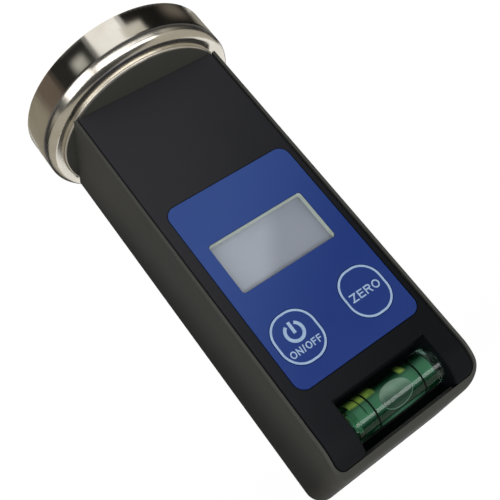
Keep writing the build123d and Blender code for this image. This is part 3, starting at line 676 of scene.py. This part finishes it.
def dress(finish: Finish, *nodes: str) -> None:
    """Gives CAD nodes their material.

    Args:
        finish: What the pieces are made of.
        nodes: The nodes' names.
    """
    for name in nodes:
        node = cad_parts[name]
        if not node.material_slots:
            node.data.materials.append(None)
        for slot in node.material_slots:
            slot.material = finish.material()
        LOG.info("%s dressed in %s", name, finish.name)


def arc(
    centre: Point, wide: float, high: float, start_degrees: float, end_degrees: float
) -> list[Point]:
    """Points along a piece of an ellipse, a small step apart.

    Args:
        centre: Its middle.
        wide: Its half width.
        high: Its half height.
        start_degrees: Where it starts, counted from its right.
        end_degrees: Where it ends.

    Returns:
        The points in order. A whole turn ends exactly where it starts.
    """
    steps = round(abs(end_degrees - start_degrees) / ARC_STEP_DEGREES)
    points = []
    for step in range(steps + 1):
        turn = math.radians(start_degrees + (end_degrees - start_degrees) * step / steps)
        points.append((centre[0] + wide * math.cos(turn), centre[1] + high * math.sin(turn)))
    if abs(end_degrees - start_degrees) == 360:
        points[-1] = points[0]
    return points


def make_piece(
    name: str, vertices: list[Vector], faces: list[Face], finish: Finish, body: Body
) -> bpy.types.Object:
    """Makes a piece from its mesh, dresses it and puts it on its body.

    Edges that turn by little look smooth.

    Args:
        name: The piece's name.
        vertices: Its points in millimetres, in the row frame.
        faces: Its faces as numbers of those points.
        finish: What it is made of.
        body: The CAD body that it rides on.

    Returns:
        The new object.
    """
    mesh = new_mesh(name, vertices, faces)
    work = bmesh.new()
    work.from_mesh(mesh)
    bmesh.ops.remove_doubles(work, verts=work.verts, dist=MERGE_MM * MM)
    bmesh.ops.recalc_face_normals(work, faces=work.faces)
    limit = math.radians(SMOOTH_DEGREES)
    for face in work.faces:
        face.smooth = True
    for edge in work.edges:
        edge.smooth = len(edge.link_faces) == 2 and edge.calc_face_angle(0.0) < limit
    work.to_mesh(mesh)
    work.free()
    piece = add_object(name, mesh)
    mesh.materials.append(finish.material())
    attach(piece, body.value)
    LOG.info("%s made, %d faces, rides on %s", name, len(mesh.polygons), body.value)
    return piece


@dataclass(frozen=True)
class FloorCard:
    """A card that lies beside the magnet, where one stretch of its round wall mirrors it."""

    name: str
    start_degrees: float
    end_degrees: float
    colour: str
    lift_mm: float = 0.0
    low_mm: float = 0.0
    high_mm: float = 28.0
    soft_share: float = 0.12


@dataclass(frozen=True)
class Softbox:
    """A lamp that faces the gauge."""

    name: str
    place_mm: Place
    size_mm: Point
    watts: float


@dataclass
class Studio:
    """The camera, the lamps, the pale floor, the white room and the cards for the gloss."""

    camera_mm: Place = (79.555, -199.663, 130.001)
    camera_turn: tuple[float, float, float, float] = (0.114704, 0.293284, -0.496347, 0.808991)
    lens_mm: float = 60.7095
    sensor_mm: float = 36.0
    nearest_mm: float = 10.0
    shift: Point = (0.030536, -0.075104)
    target_mm: Place = (0.0, 0.0, 65.0)
    lamps: tuple[Softbox, ...] = (
        Softbox("key_strip", (-60.0, -616.0, 467.0), (1200.0, 250.0), 3.1),
        Softbox("side_softbox", (540.0, -390.0, 260.0), (420.0, 420.0), 1.4),
    )
    floor_radius_mm: float = 3000.0
    floor_hole_mm: float = 29.3
    floor_sides: int = 60
    ambient: float = 0.4
    floor_glow: float = 0.93
    floor_paper: str = "#E6E6E6"
    floor_shade: str = "#6E6E6E"
    magnet_radius_mm: float = 30.0
    card_gap_mm: float = 0.4
    card_step_degrees: int = 3
    cards: tuple[FloorCard, ...] = (
        FloorCard("grey_card_left", -165.0, -122.0, "#96938A", low_mm=-4.0),
        FloorCard("black_card_left", -135.0, -86.0, "#1A1918", 0.1, -4.0),
        FloorCard("grey_patch_left", -134.0, -109.0, "#6B655E", 0.2, -3.0, 8.0, 0.45),
        FloorCard("pale_step", -99.0, -84.0, "#D2CFC8", 0.3, 3.2, 11.0, 0.2),
        FloorCard("brown_card", -56.0, -19.0, "#6A5F56", low_mm=-4.0),
        FloorCard("black_card_front", -72.0, -42.0, "#262624", 0.1, -5.0, 28.0, 0.15),
        FloorCard("cream_card_right", -34.0, 45.0, "#928D80", 0.2, -4.0),
        FloorCard("pale_spot", -65.5, -53.5, "#C4C5C1", 0.3, 2.2, 9.4, 0.4),
    )
    tent_radius_mm: float = 900.0
    tent_dark: str = "#2E2E30"
    tent_grey: str = "#404041"
    tent_pale: str = "#B4B0A6"
    tent_floor_colour: str = "#6A6A6C"
    tent_floor_start_mm: float = 71.0
    tent_step_degrees: int = 15
    pale_end_degrees: int = 225
    pale_low_degrees: int = 15
    door_start_degrees: int = 90
    door_end_degrees: int = 150
    door_top_degrees: int = 45

    def build(self) -> None:
        """Sets up everything round the gauge."""
        self.place_camera()
        self.light_room()
        self.lay_floor()
        self.pitch_tent()
        for card in self.cards:
            self.lay_card(card)
        for lamp in self.lamps:
            self.hang_lamp(lamp)

    def place_camera(self) -> None:
        """Makes the camera that takes the photograph's view."""
        data = bpy.data.cameras.new("photo_camera")
        data.lens = self.lens_mm
        data.sensor_width = self.sensor_mm
        data.shift_x, data.shift_y = self.shift
        data.clip_start = self.nearest_mm * MM
        camera = add_object("photo_camera", data)
        camera.location = Vector(self.camera_mm) * MM
        camera.rotation_mode = "QUATERNION"
        camera.rotation_quaternion = Quaternion(self.camera_turn)
        bpy.context.scene.camera = camera

    def seen_directly(self, tree: Tree) -> Source:
        """1 for rays from the camera, off gloss and through glass, and 0 for the rest.

        Args:
            tree: The node tree of the material or the world.

        Returns:
            The share.
        """
        path = add_node(tree, "LightPath").outputs
        first = add_node(tree, "Math", path["Is Camera Ray"], path["Is Glossy Ray"], operation="MAXIMUM")
        return add_node(tree, "Math", first, path["Is Transmission Ray"], operation="MAXIMUM")

    def light_room(self) -> None:
        """Makes the world: a soft grey light, seen as plain white."""
        world = bpy.data.worlds.new("white_room")
        tree = clear_tree(world)
        soft = add_node(tree, "Background", linear(WHITE), self.ambient)
        white = add_node(tree, "Background", linear(WHITE))
        mix = add_node(tree, "MixShader", self.seen_directly(tree), soft, white)
        add_node(tree, "OutputWorld", mix)
        bpy.context.scene.world = world

    def ring(
        self, inner_mm: float, outer_mm: float, height_mm: float, sides: int
    ) -> tuple[list[Vector], list[Face]]:
        """A flat ring round the gauge.

        Args:
            inner_mm: Its hole's radius.
            outer_mm: Its own radius.
            height_mm: How high it lies.
            sides: How many straight sides it has.

        Returns:
            Its points and its faces.
        """
        vertices = []
        for radius in (inner_mm, outer_mm):
            for side in range(sides):
                turn = math.tau * side / sides
                vertices.append(Vector((radius * math.cos(turn), radius * math.sin(turn), height_mm)))
        return vertices, weave(2, sides)

    def lay_floor(self) -> None:
        """Lays the pale floor that the gauge stands on.

        It is open under the magnet and clear from below, so the magnet's face can be seen.
        """
        ring = self.ring(self.floor_hole_mm, self.floor_radius_mm, 0.0, self.floor_sides)
        mesh = new_mesh("pale_floor", *ring)
        floor = add_object("pale_floor", mesh)
        material = bpy.data.materials.new("paper_sweep_white")
        tree = clear_tree(material)
        paper = add_node(tree, "BsdfDiffuse", linear(self.floor_paper))
        shade = add_node(tree, "BsdfDiffuse", linear(self.floor_shade))
        glow = add_node(tree, "Emission", linear(WHITE), self.floor_glow)
        white = add_node(tree, "AddShader", glow, shade)
        top = add_node(tree, "MixShader", self.seen_directly(tree), paper, white)
        below = add_node(tree, "NewGeometry").outputs["Backfacing"]
        clear = add_node(tree, "BsdfTransparent")
        add_node(tree, "OutputMaterial", add_node(tree, "MixShader", below, top, clear))
        mesh.materials.append(material)

    def hang_card(
        self, name: str, vertices: list[Vector], faces: list[Face], colour: str, soft_share: float = 0.0
    ) -> None:
        """Makes a card that only gloss sees, as a photographer's flag beside a shiny piece.

        Args:
            name: Its name.
            vertices: Its points in millimetres. A soft card's points are in rows of two.
            faces: Its faces as numbers of those points.
            colour: What it looks like.
            soft_share: The share of its length and width over which it fades out.
        """
        mesh = new_mesh(name, vertices, faces)
        card = add_object(name, mesh)
        for kind in ("camera", "diffuse", "transmission", "volume_scatter", "shadow"):
            setattr(card, "visible_" + kind, False)
        material = bpy.data.materials.new(name + "_cloth")
        tree = clear_tree(material)
        cloth = add_node(tree, "Emission", linear(colour))
        if soft_share:
            self.spread(mesh)
            clear = add_node(tree, "BsdfTransparent")
            cloth = add_node(tree, "MixShader", self.fade(tree, soft_share), clear, cloth)
        add_node(tree, "OutputMaterial", cloth)
        mesh.materials.append(material)

    def spread(self, mesh: bpy.types.Mesh) -> None:
        """Lays a card's rows of two points out over the unit square.

        Args:
            mesh: The card's mesh.
        """
        layer = mesh.uv_layers.new(name="spread")
        rows = len(mesh.vertices) // 2 - 1
        for loop in mesh.loops:
            row, side = divmod(loop.vertex_index, 2)
            layer.data[loop.index].uv = (row / rows, side)

    def fade(self, tree: Tree, soft_share: float) -> Source:
        """1 in a card's middle, and down to 0 at its edges.

        Args:
            tree: The material's node tree.
            soft_share: The share of its length and width over which it fades out.

        Returns:
            The share that shows.
        """
        spot = add_node(tree, "TexCoord").outputs["UV"]
        ways = add_node(tree, "SeparateXYZ", spot).outputs
        half = soft_share / 2
        shares = [window(tree, ways[way], half, 1 - half, half) for way in "XY"]
        return add_node(tree, "Math", *shares, operation="MULTIPLY")

    def lay_card(self, card: FloorCard) -> None:
        """Lays a card where the camera sees it in one stretch of the magnet's wall.

        A ray from the camera keeps its fall when an upright wall mirrors it, so the place
        on the floor that shows in a spot on the wall is found by going on from there.

        Args:
            card: The stretch of the wall, by azimuth and height, and the card's colour.
        """
        width = card.end_degrees - card.start_degrees
        steps = round(width / self.card_step_degrees)
        vertices: list[Vector] = []
        for step in range(steps + 1):
            azimuth = math.radians(card.start_degrees + step / steps * width)
            out = Vector((math.cos(azimuth), math.sin(azimuth), 0.0))
            for height in (card.low_mm, card.high_mm):
                spot = out * self.magnet_radius_mm + Vector((0.0, 0.0, height))
                view = spot - Vector(self.camera_mm)
                away = view - 2 * view.dot(out) * out
                spot += away * height / -view.z
                spot.z = self.card_gap_mm + card.lift_mm
                vertices.append(spot)
        faces = [(2 * i, 2 * i + 1, 2 * i + 3, 2 * i + 2) for i in range(steps)]
        self.hang_card(card.name, vertices, faces, card.colour, card.soft_share)

    def cloth_at(self, azimuth_degrees: int, height_degrees: int) -> str:
        """The tent's colour: grey in front, dark low down elsewhere, and pale above that.

        Args:
            azimuth_degrees: Which way the cloth hangs.
            height_degrees: How high it hangs.

        Returns:
            The colour.
        """
        if azimuth_degrees >= self.pale_end_degrees:
            return self.tent_grey
        return self.tent_pale if height_degrees >= self.pale_low_degrees else self.tent_dark

    def pitch_tent(self) -> None:
        """Hangs dark cloth all round for the gloss, with a door to the white room behind."""
        step = self.tent_step_degrees
        cloths: dict[str, tuple[list[Vector], list[Face]]] = {
            self.tent_dark: ([], []), self.tent_grey: ([], []), self.tent_pale: ([], [])
        }
        for start in range(0, 360, step):
            for low in range(0, 90, step):
                in_door = self.door_start_degrees <= start < self.door_end_degrees
                if in_door and low < self.door_top_degrees:
                    continue
                vertices, faces = cloths[self.cloth_at(start, low)]
                first = len(vertices)
                for azimuth, height in ((0, 0), (step, 0), (step, step), (0, step)):
                    around, up = math.radians(start + azimuth), math.radians(low + height)
                    wide = self.tent_radius_mm * math.cos(up)
                    top = self.tent_radius_mm * math.sin(up)
                    vertices.append(Vector((wide * math.cos(around), wide * math.sin(around), top)))
                faces.append(tuple(range(first, first + 4)))
        for name, colour in (
            ("dark_tent", self.tent_dark), ("grey_tent", self.tent_grey), ("pale_tent", self.tent_pale)
        ):
            self.hang_card(name, *cloths[colour], colour)
        start, end = self.tent_floor_start_mm, self.tent_radius_mm
        ring = self.ring(start, end, self.card_gap_mm / 2, 360 // step)
        self.hang_card("tent_floor", *ring, self.tent_floor_colour)

    def hang_lamp(self, lamp: Softbox) -> None:
        """Hangs a softbox where its place says, turned to the gauge.

        Args:
            lamp: Its place, its size and its power.
        """
        data = bpy.data.lights.new(lamp.name, "AREA")
        data.energy = lamp.watts
        data.shape = "RECTANGLE"
        data.size, data.size_y = (side * MM for side in lamp.size_mm)
        box = add_object(lamp.name, data)
        box.location = Vector(lamp.place_mm) * MM
        aim = (Vector(self.target_mm) - Vector(lamp.place_mm)).normalized()
        box.rotation_mode = "QUATERNION"
        box.rotation_quaternion = aim.to_track_quat("-Z", "Y")


@dataclass
class PotMagnet:
    """The round magnet: plated cup, ferrite ring, steel core, resin and fixings."""

    def build(self) -> None:
        """Dresses the magnet's nodes."""
        dress(NICKEL_PLATE, "magnet_cup")
        dress(ZINC_PLATE, "magnet_core", "magnet_screw", "magnet_washer", "magnet_nut")
        dress(FERRITE, "magnet_ring")
        dress(EPOXY, "magnet_resin")


@dataclass
class Housing:
    """The case, its cover, the battery door and the case screws."""

    def build(self) -> None:
        """Dresses the housing's nodes."""
        dress(CASE_ABS_PAINTED_LIGHT, "rear_case", "battery_door")
        dress(COVER_ABS_PAINTED_LIGHT, "front_cover")
        dress(ZINC_PLATE, "case_screws")


@dataclass
class Legend:
    """One key's print: its ring, its word, and a place for a symbol.

    The print is read with the magnet at the top, so its own right is -X and its up is -Z.
    """

    key: str
    body: Body
    face_level_mm: float
    ring_width_mm: float = 12.2
    ring_height_mm: float = 13.6
    ring_corner_mm: float = 5.5
    line_mm: float = 0.55
    letter_line_share: float = 0.165
    letter_gap_share: float = 0.16
    letter_bar_share: float = 0.53
    short_bar_share: float = 0.92
    slant_inset_share: float = 0.8
    leg_start_share: float = 0.42
    ink_mm: float = 0.03
    ink_step_mm: float = 0.003
    sink_mm: float = 0.02

    def __post_init__(self) -> None:
        """Finds the key's centre in the frame."""
        low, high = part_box(self.key)
        self.centre_mm = (low + high) / (2 * MM)

    def at(self, right: float, up: float, height: float) -> Vector:
        """The row-frame point, in mm, of a place on the key as it is read."""
        return Vector((self.centre_mm.x - right, -(self.face_level_mm + height), self.centre_mm.z - up))

    def print_lines(self, name: str, paths: list[list[Point]], width: float) -> None:
        """Prints lines of ink, each along the middle of its path.

        Each line is a hair thicker than the one before, so where they cross no two faces
        lie in one plane.

        Args:
            name: The piece's name.
            paths: The lines, in mm from the key's centre. One that ends where it starts
                is closed.
            width: The lines' width.
        """
        vertices: list[Vector] = []
        faces: list[Face] = []
        for number, path in enumerate(paths):
            closed = path[0] == path[-1]
            points = path[:-1] if closed else path
            count, first = len(points), len(vertices)
            more = number * self.ink_step_mm
            for i, (right, up) in enumerate(points):
                before = points[i - 1] if closed or i else points[i]
                after = points[(i + 1) % count] if closed or i < count - 1 else points[i]
                run = Vector((after[0] - before[0], after[1] - before[1])).normalized()
                side = Vector((-run.y, run.x)) * width / 2
                for sign in (-1, 1):
                    for height in (-self.sink_mm - more, self.ink_mm + more):
                        vertices.append(self.at(right + sign * side.x, up + sign * side.y, height))
            for i in range(count if closed else count - 1):
                a, b = first + 4 * i, first + 4 * ((i + 1) % count)
                for j, k in ((0, 1), (1, 3), (3, 2), (2, 0)):
                    faces.append((a + j, a + k, b + k, b + j))
            if not closed:
                for end in (first, first + 4 * (count - 1)):
                    faces.append((end, end + 1, end + 3, end + 2))
        make_piece(name, vertices, faces, PALE_INK, self.body)

    def ring(self, name: str) -> None:
        """Prints the rounded ring just inside the key's edge.

        Args:
            name: The piece's name.
        """
        corner = self.ring_corner_mm - self.line_mm / 2
        reach_right = self.ring_width_mm / 2 - self.ring_corner_mm
        reach_up = self.ring_height_mm / 2 - self.ring_corner_mm
        path: list[Point] = []
        for quarter, (sx, sy) in enumerate(((1, 1), (-1, 1), (-1, -1), (1, -1))):
            path += arc(
                (sx * reach_right, sy * reach_up), corner, corner, 90 * quarter, 90 * quarter + 90
            )
        self.print_lines(name, [path + path[:1]], self.line_mm)

    def letter(self, sign: str) -> tuple[float, list[list[Point]]]:
        """The width and the lines of one upright letter, as shares of its height.

        Args:
            sign: The letter.

        Returns:
            Its width, and the middle lines of its strokes from its lower left corner.
        """
        thick, wide = self.letter_line_share, LETTER_WIDTHS[sign]
        half, top, middle = thick / 2, 1 - thick / 2, self.letter_bar_share
        slant_inset = self.slant_inset_share * thick
        stem = [(half, 0.0), (half, 1.0)]
        roof, sole = [(0.0, top), (wide, top)], [(0.0, half), (wide, half)]
        if sign == "O":
            return wide, [arc((wide / 2, 0.5), wide / 2 - half, 0.5 - half, 0, 360)]
        if sign == "R":
            bowl = (top - middle) / 2
            turn = arc((wide - half - bowl, middle + bowl), bowl, bowl, 90, -90)
            leg = [(self.leg_start_share, middle), (wide - half, 0.0)]
            return wide, [stem, [(0.0, top), *turn, (0.0, middle)], leg]
        if sign == "Z":
            return wide, [roof, sole, [(slant_inset, half), (wide - slant_inset, top)]]
        if sign == "N":
            slant = [(half, 1 - slant_inset), (wide - half, slant_inset)]
            return wide, [stem, [(wide - half, 0.0), (wide - half, 1.0)], slant]
        if sign == "/":
            return wide, [[(half, 0.0), (wide - half, 1.0)]]
        bars = [roof, [(0.0, middle), (self.short_bar_share * wide, middle)]]
        return wide, [stem, *bars, sole] if sign == "E" else [stem, *bars]

    def word(self, name: str, text: str, width: float, height: float, up: float) -> None:
        """Prints a word in plain upright letters.

        Args:
            name: The piece's name.
            text: The word.
            width: Its width in mm.
            height: The height of its letters in mm.
            up: How far its middle lies above the key's centre, as it is read.
        """
        placed: list[list[Point]] = []
        reach = 0.0
        for sign in text:
            wide, lines = self.letter(sign)
            placed += [[(reach + x, y) for x, y in line] for line in lines]
            reach += wide + self.letter_gap_share
        scale = width / (reach - self.letter_gap_share)
        paths = [[(x * scale - width / 2, up + (y - 0.5) * height) for x, y in line] for line in placed]
        self.print_lines(name, paths, self.letter_line_share * height)


@dataclass
class ControlLabel:
    """The blue printed film with its two keys and their legends."""

    symbol_radius_mm: float = 2.33
    symbol_line_mm: float = 0.85
    symbol_up_mm: float = 1.4
    symbol_gap_degrees: float = 31.0
    symbol_bar_mm: float = 3.1
    on_off_width_mm: float = 9.1
    on_off_height_mm: float = 1.85
    on_off_up_mm: float = -3.05
    zero_width_mm: float = 9.0
    zero_height_mm: float = 2.2

    def build(self) -> None:
        """Dresses the film and prints both keys."""
        dress(BLUE_FILM_PAINTED_SHEEN, "control_label", "on_off_key", "zero_key")
        face_level = -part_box("control_label")[0].y / MM
        on_off = Legend("on_off_key", Body.ON_OFF_BUTTON, face_level)
        on_off.ring("on_off_ring")
        self.print_symbol(on_off)
        on_off.word(
            "on_off_word", "ON/OFF", self.on_off_width_mm, self.on_off_height_mm, self.on_off_up_mm
        )
        zero = Legend("zero_key", Body.ZERO_BUTTON, face_level)
        zero.ring("zero_ring")
        zero.word("zero_word", "ZERO", self.zero_width_mm, self.zero_height_mm, 0.0)

    def print_symbol(self, legend: Legend) -> None:
        """Prints the plain power symbol: an open circle with a bar in its gap.

        Args:
            legend: The key's legend.
        """
        gap, radius = self.symbol_gap_degrees, self.symbol_radius_mm
        circle = arc((0.0, self.symbol_up_mm), radius, radius, 90 + gap, 450 - gap)
        legend.print_lines("power_circle", [circle], self.symbol_line_mm)
        top = self.symbol_up_mm + radius + self.symbol_line_mm / 2
        bar = [(0.0, top), (0.0, top - self.symbol_bar_mm)]
        legend.print_lines("power_bar", [bar], self.symbol_line_mm)


@dataclass
class Display:
    """The clear lens, the liquid crystal glass and what holds it."""

    def build(self) -> None:
        """Dresses the display's nodes."""
        dress(LENS_ACRYLIC, "display_lens")
        dress(POLARISER_PAINTED_REFLECTION, "display_panel")
        dress(NYLON, "display_frame")
        dress(SILICONE, "display_connectors")


@dataclass
class SpiritLevel:
    """The tube, its dyed spirit, the bubble, the ring lines and the cradle."""

    half_length_mm: float = 11.5
    end_radius_mm: float = 3.14
    middle_radius_mm: float = 3.44
    steps_round: int = 96
    steps_along: int = 24
    bubble_length_share: float = 0.95
    bubble_half_turn_degrees: float = 49.0
    bubble_turn_degrees: float = 11.0
    bubble_lift_mm: float = 0.05
    bubble_depth_mm: float = 1.5
    bubble_rings: int = 10
    meniscus_mm: float = 0.1
    meniscus_sides: int = 6
    meniscus_end_degrees: float = 15.0

    def build(self) -> None:
        """Dresses the level's nodes, and makes the spirit and the bubble."""
        dress(VIAL_ACRYLIC, "vial_tube")
        dress(PLUG_ACRYLIC, "vial_plug")
        dress(RING_LACQUER, "vial_rings")
        dress(NYLON, "vial_cradle")
        low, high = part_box("vial_liquid")
        self.centre_mm = (low + high) / (2 * MM)
        spirit = self.turned("vial_spirit", self.barrel(), VIAL_SPIRIT)
        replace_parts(spirit, "vial_liquid")
        low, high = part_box("vial_bubble")
        self.bubble_x_mm = (low.x + high.x) / (2 * MM)
        self.bubble_half_length_mm = self.bubble_length_share * (high.x - low.x) / (2 * MM)
        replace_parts(self.bubble(), "vial_bubble")
        self.draw_meniscus_highlight()

    def at(self, along: float, degrees: float, radius: float) -> Vector:
        """A point in mm, by its place along the bubble and round the level.

        Args:
            along: How far along the bubble it lies.
            degrees: How far round the level it lies.
            radius: How far from the level's axis it lies.

        Returns:
            The point.
        """
        turn = math.radians(degrees + self.bubble_turn_degrees)
        return Vector(
            (
                self.bubble_x_mm + along,
                self.centre_mm.y - radius * math.cos(turn),
                self.centre_mm.z + radius * math.sin(turn),
            )
        )

    def bubble(self) -> bpy.types.Object:
        """Makes the bubble: flat against the bore's wall, and hollowing the spirit below.

        Returns:
            The piece.
        """
        rim = arc((0.0, 0.0), self.bubble_half_length_mm, self.bubble_half_turn_degrees, 0, 360)[:-1]
        count = len(rim)
        skin = self.middle_radius_mm + self.bubble_lift_mm
        vertices = [self.at(0.0, 0.0, skin)]
        for ring in range(1, self.bubble_rings + 1):
            share = ring / self.bubble_rings
            vertices += [self.at(share * x, share * turn, skin) for x, turn in rim]
        for ring in range(self.bubble_rings - 1, 0, -1):
            share = ring / self.bubble_rings
            depth = self.bubble_depth_mm * math.sqrt(1 - share**2)
            vertices += [self.at(share * x, share * turn, skin - depth) for x, turn in rim]
        vertices.append(self.at(0.0, 0.0, skin - self.bubble_depth_mm))
        last = len(vertices) - 1
        faces = weave(2 * self.bubble_rings - 1, count, first=1)
        for i in range(count):
            after = (i + 1) % count
            faces += [(0, 1 + i, 1 + after), (last, last - count + after, last - count + i)]
        return make_piece("vial_air_bubble", vertices, faces, AIR_BUBBLE_PAINTED_REFLECTION, Body.BUBBLE)

    def draw_meniscus_highlight(self) -> None:
        """Draws the meniscus along the bubble's lower edge, thin at both ends, as a painted highlight
        line.
        """
        radius = self.middle_radius_mm
        across = math.radians(self.bubble_half_turn_degrees) * radius
        end = self.meniscus_end_degrees
        path = arc((0.0, 0.0), 1.0, 1.0, end, 180 - end)
        vertices: list[Vector] = []
        for i, (x, turn) in enumerate(path):
            thick = self.meniscus_mm * math.sin(math.pi * (i + 0.5) / len(path)) ** 0.5
            level = Vector((x * across, turn * self.bubble_half_length_mm)).normalized()
            for side in range(self.meniscus_sides):
                angle = math.tau * side / self.meniscus_sides
                reach = thick * math.cos(angle)
                vertices.append(
                    self.at(
                        x * self.bubble_half_length_mm + reach * level.x,
                        turn * self.bubble_half_turn_degrees
                        + math.degrees(reach * level.y / radius),
                        radius + self.bubble_lift_mm + thick * math.sin(angle),
                    )
                )
        sides = self.meniscus_sides
        ends = [tuple(range(end, end + sides)) for end in (0, len(vertices) - sides)]
        faces = weave(len(path), sides) + ends
        make_piece("vial_meniscus_painted_highlight", vertices, faces, MENISCUS_PAINTED_HIGHLIGHT, Body.BUBBLE)

    def barrel(self) -> list[Point]:
        """The spirit's outline from end to end, as places along X and radii.

        Returns:
            The outline.
        """
        bulge = self.middle_radius_mm - self.end_radius_mm
        outline = [(-self.half_length_mm, 0.0)]
        for step in range(self.steps_along + 1):
            share = 2 * step / self.steps_along - 1
            outline.append((share * self.half_length_mm, self.middle_radius_mm - bulge * share**2))
        outline.append((self.half_length_mm, 0.0))
        return outline

    def turned(self, name: str, outline: list[Point], finish: Finish) -> bpy.types.Object:
        """Turns an outline about the level's length.

        Args:
            name: The piece's name.
            outline: Places along X from the level's middle, and radii.
            finish: What the piece is made of.

        Returns:
            The new piece, fixed to the gauge.
        """
        vertices: list[Vector] = []
        for along, radius in outline:
            for step in range(self.steps_round):
                angle = math.tau * step / self.steps_round
                ray = Vector((0.0, math.cos(angle), math.sin(angle)))
                vertices.append(self.centre_mm + Vector((along, 0.0, 0.0)) + radius * ray)
        faces = weave(len(outline), self.steps_round)
        return make_piece(name, vertices, faces, finish, Body.GAUGE)


@dataclass
class Electronics:
    """The circuit board and what is soldered or screwed to it."""

    def build(self) -> None:
        """Dresses the board's nodes."""
        dress(LAMINATE, "circuit_board")
        dress(ZINC_PLATE, "board_screws")
        dress(CHIP_EPOXY, "controller_chip")
        dress(DRAWN_STEEL, "tilt_sensor", "quartz_crystal")
        dress(CERAMIC, "board_capacitors")
        dress(NYLON, "on_off_switch", "zero_switch")
        dress(ACETAL, "on_off_plunger", "zero_plunger")


@dataclass
class BatteryPack:
    """The two cells, their contacts and the leads to the board."""

    def build(self) -> None:
        """Dresses the battery compartment's nodes."""
        dress(CELL_SLEEVE, "battery_left", "battery_right")
        dress(SPRING_NICKEL, "contact_negative", "contact_positive", "contact_bridge")
        dress(RED_PVC, "lead_red")
        dress(BLACK_PVC, "lead_black")


def main() -> None:
    """Builds the studio and the gauge, part by part."""
    logging.basicConfig(level=logging.INFO, format="%(name)s %(message)s")
    bpy.context.scene.view_settings.view_transform = "Standard"
    for part in (
        Studio(),
        PotMagnet(),
        Housing(),
        ControlLabel(),
        Display(),
        SpiritLevel(),
        Electronics(),
        BatteryPack(),
    ):
        part.build()
        LOG.info("%s done", type(part).__name__)


if __name__ == "__main__":
    main()
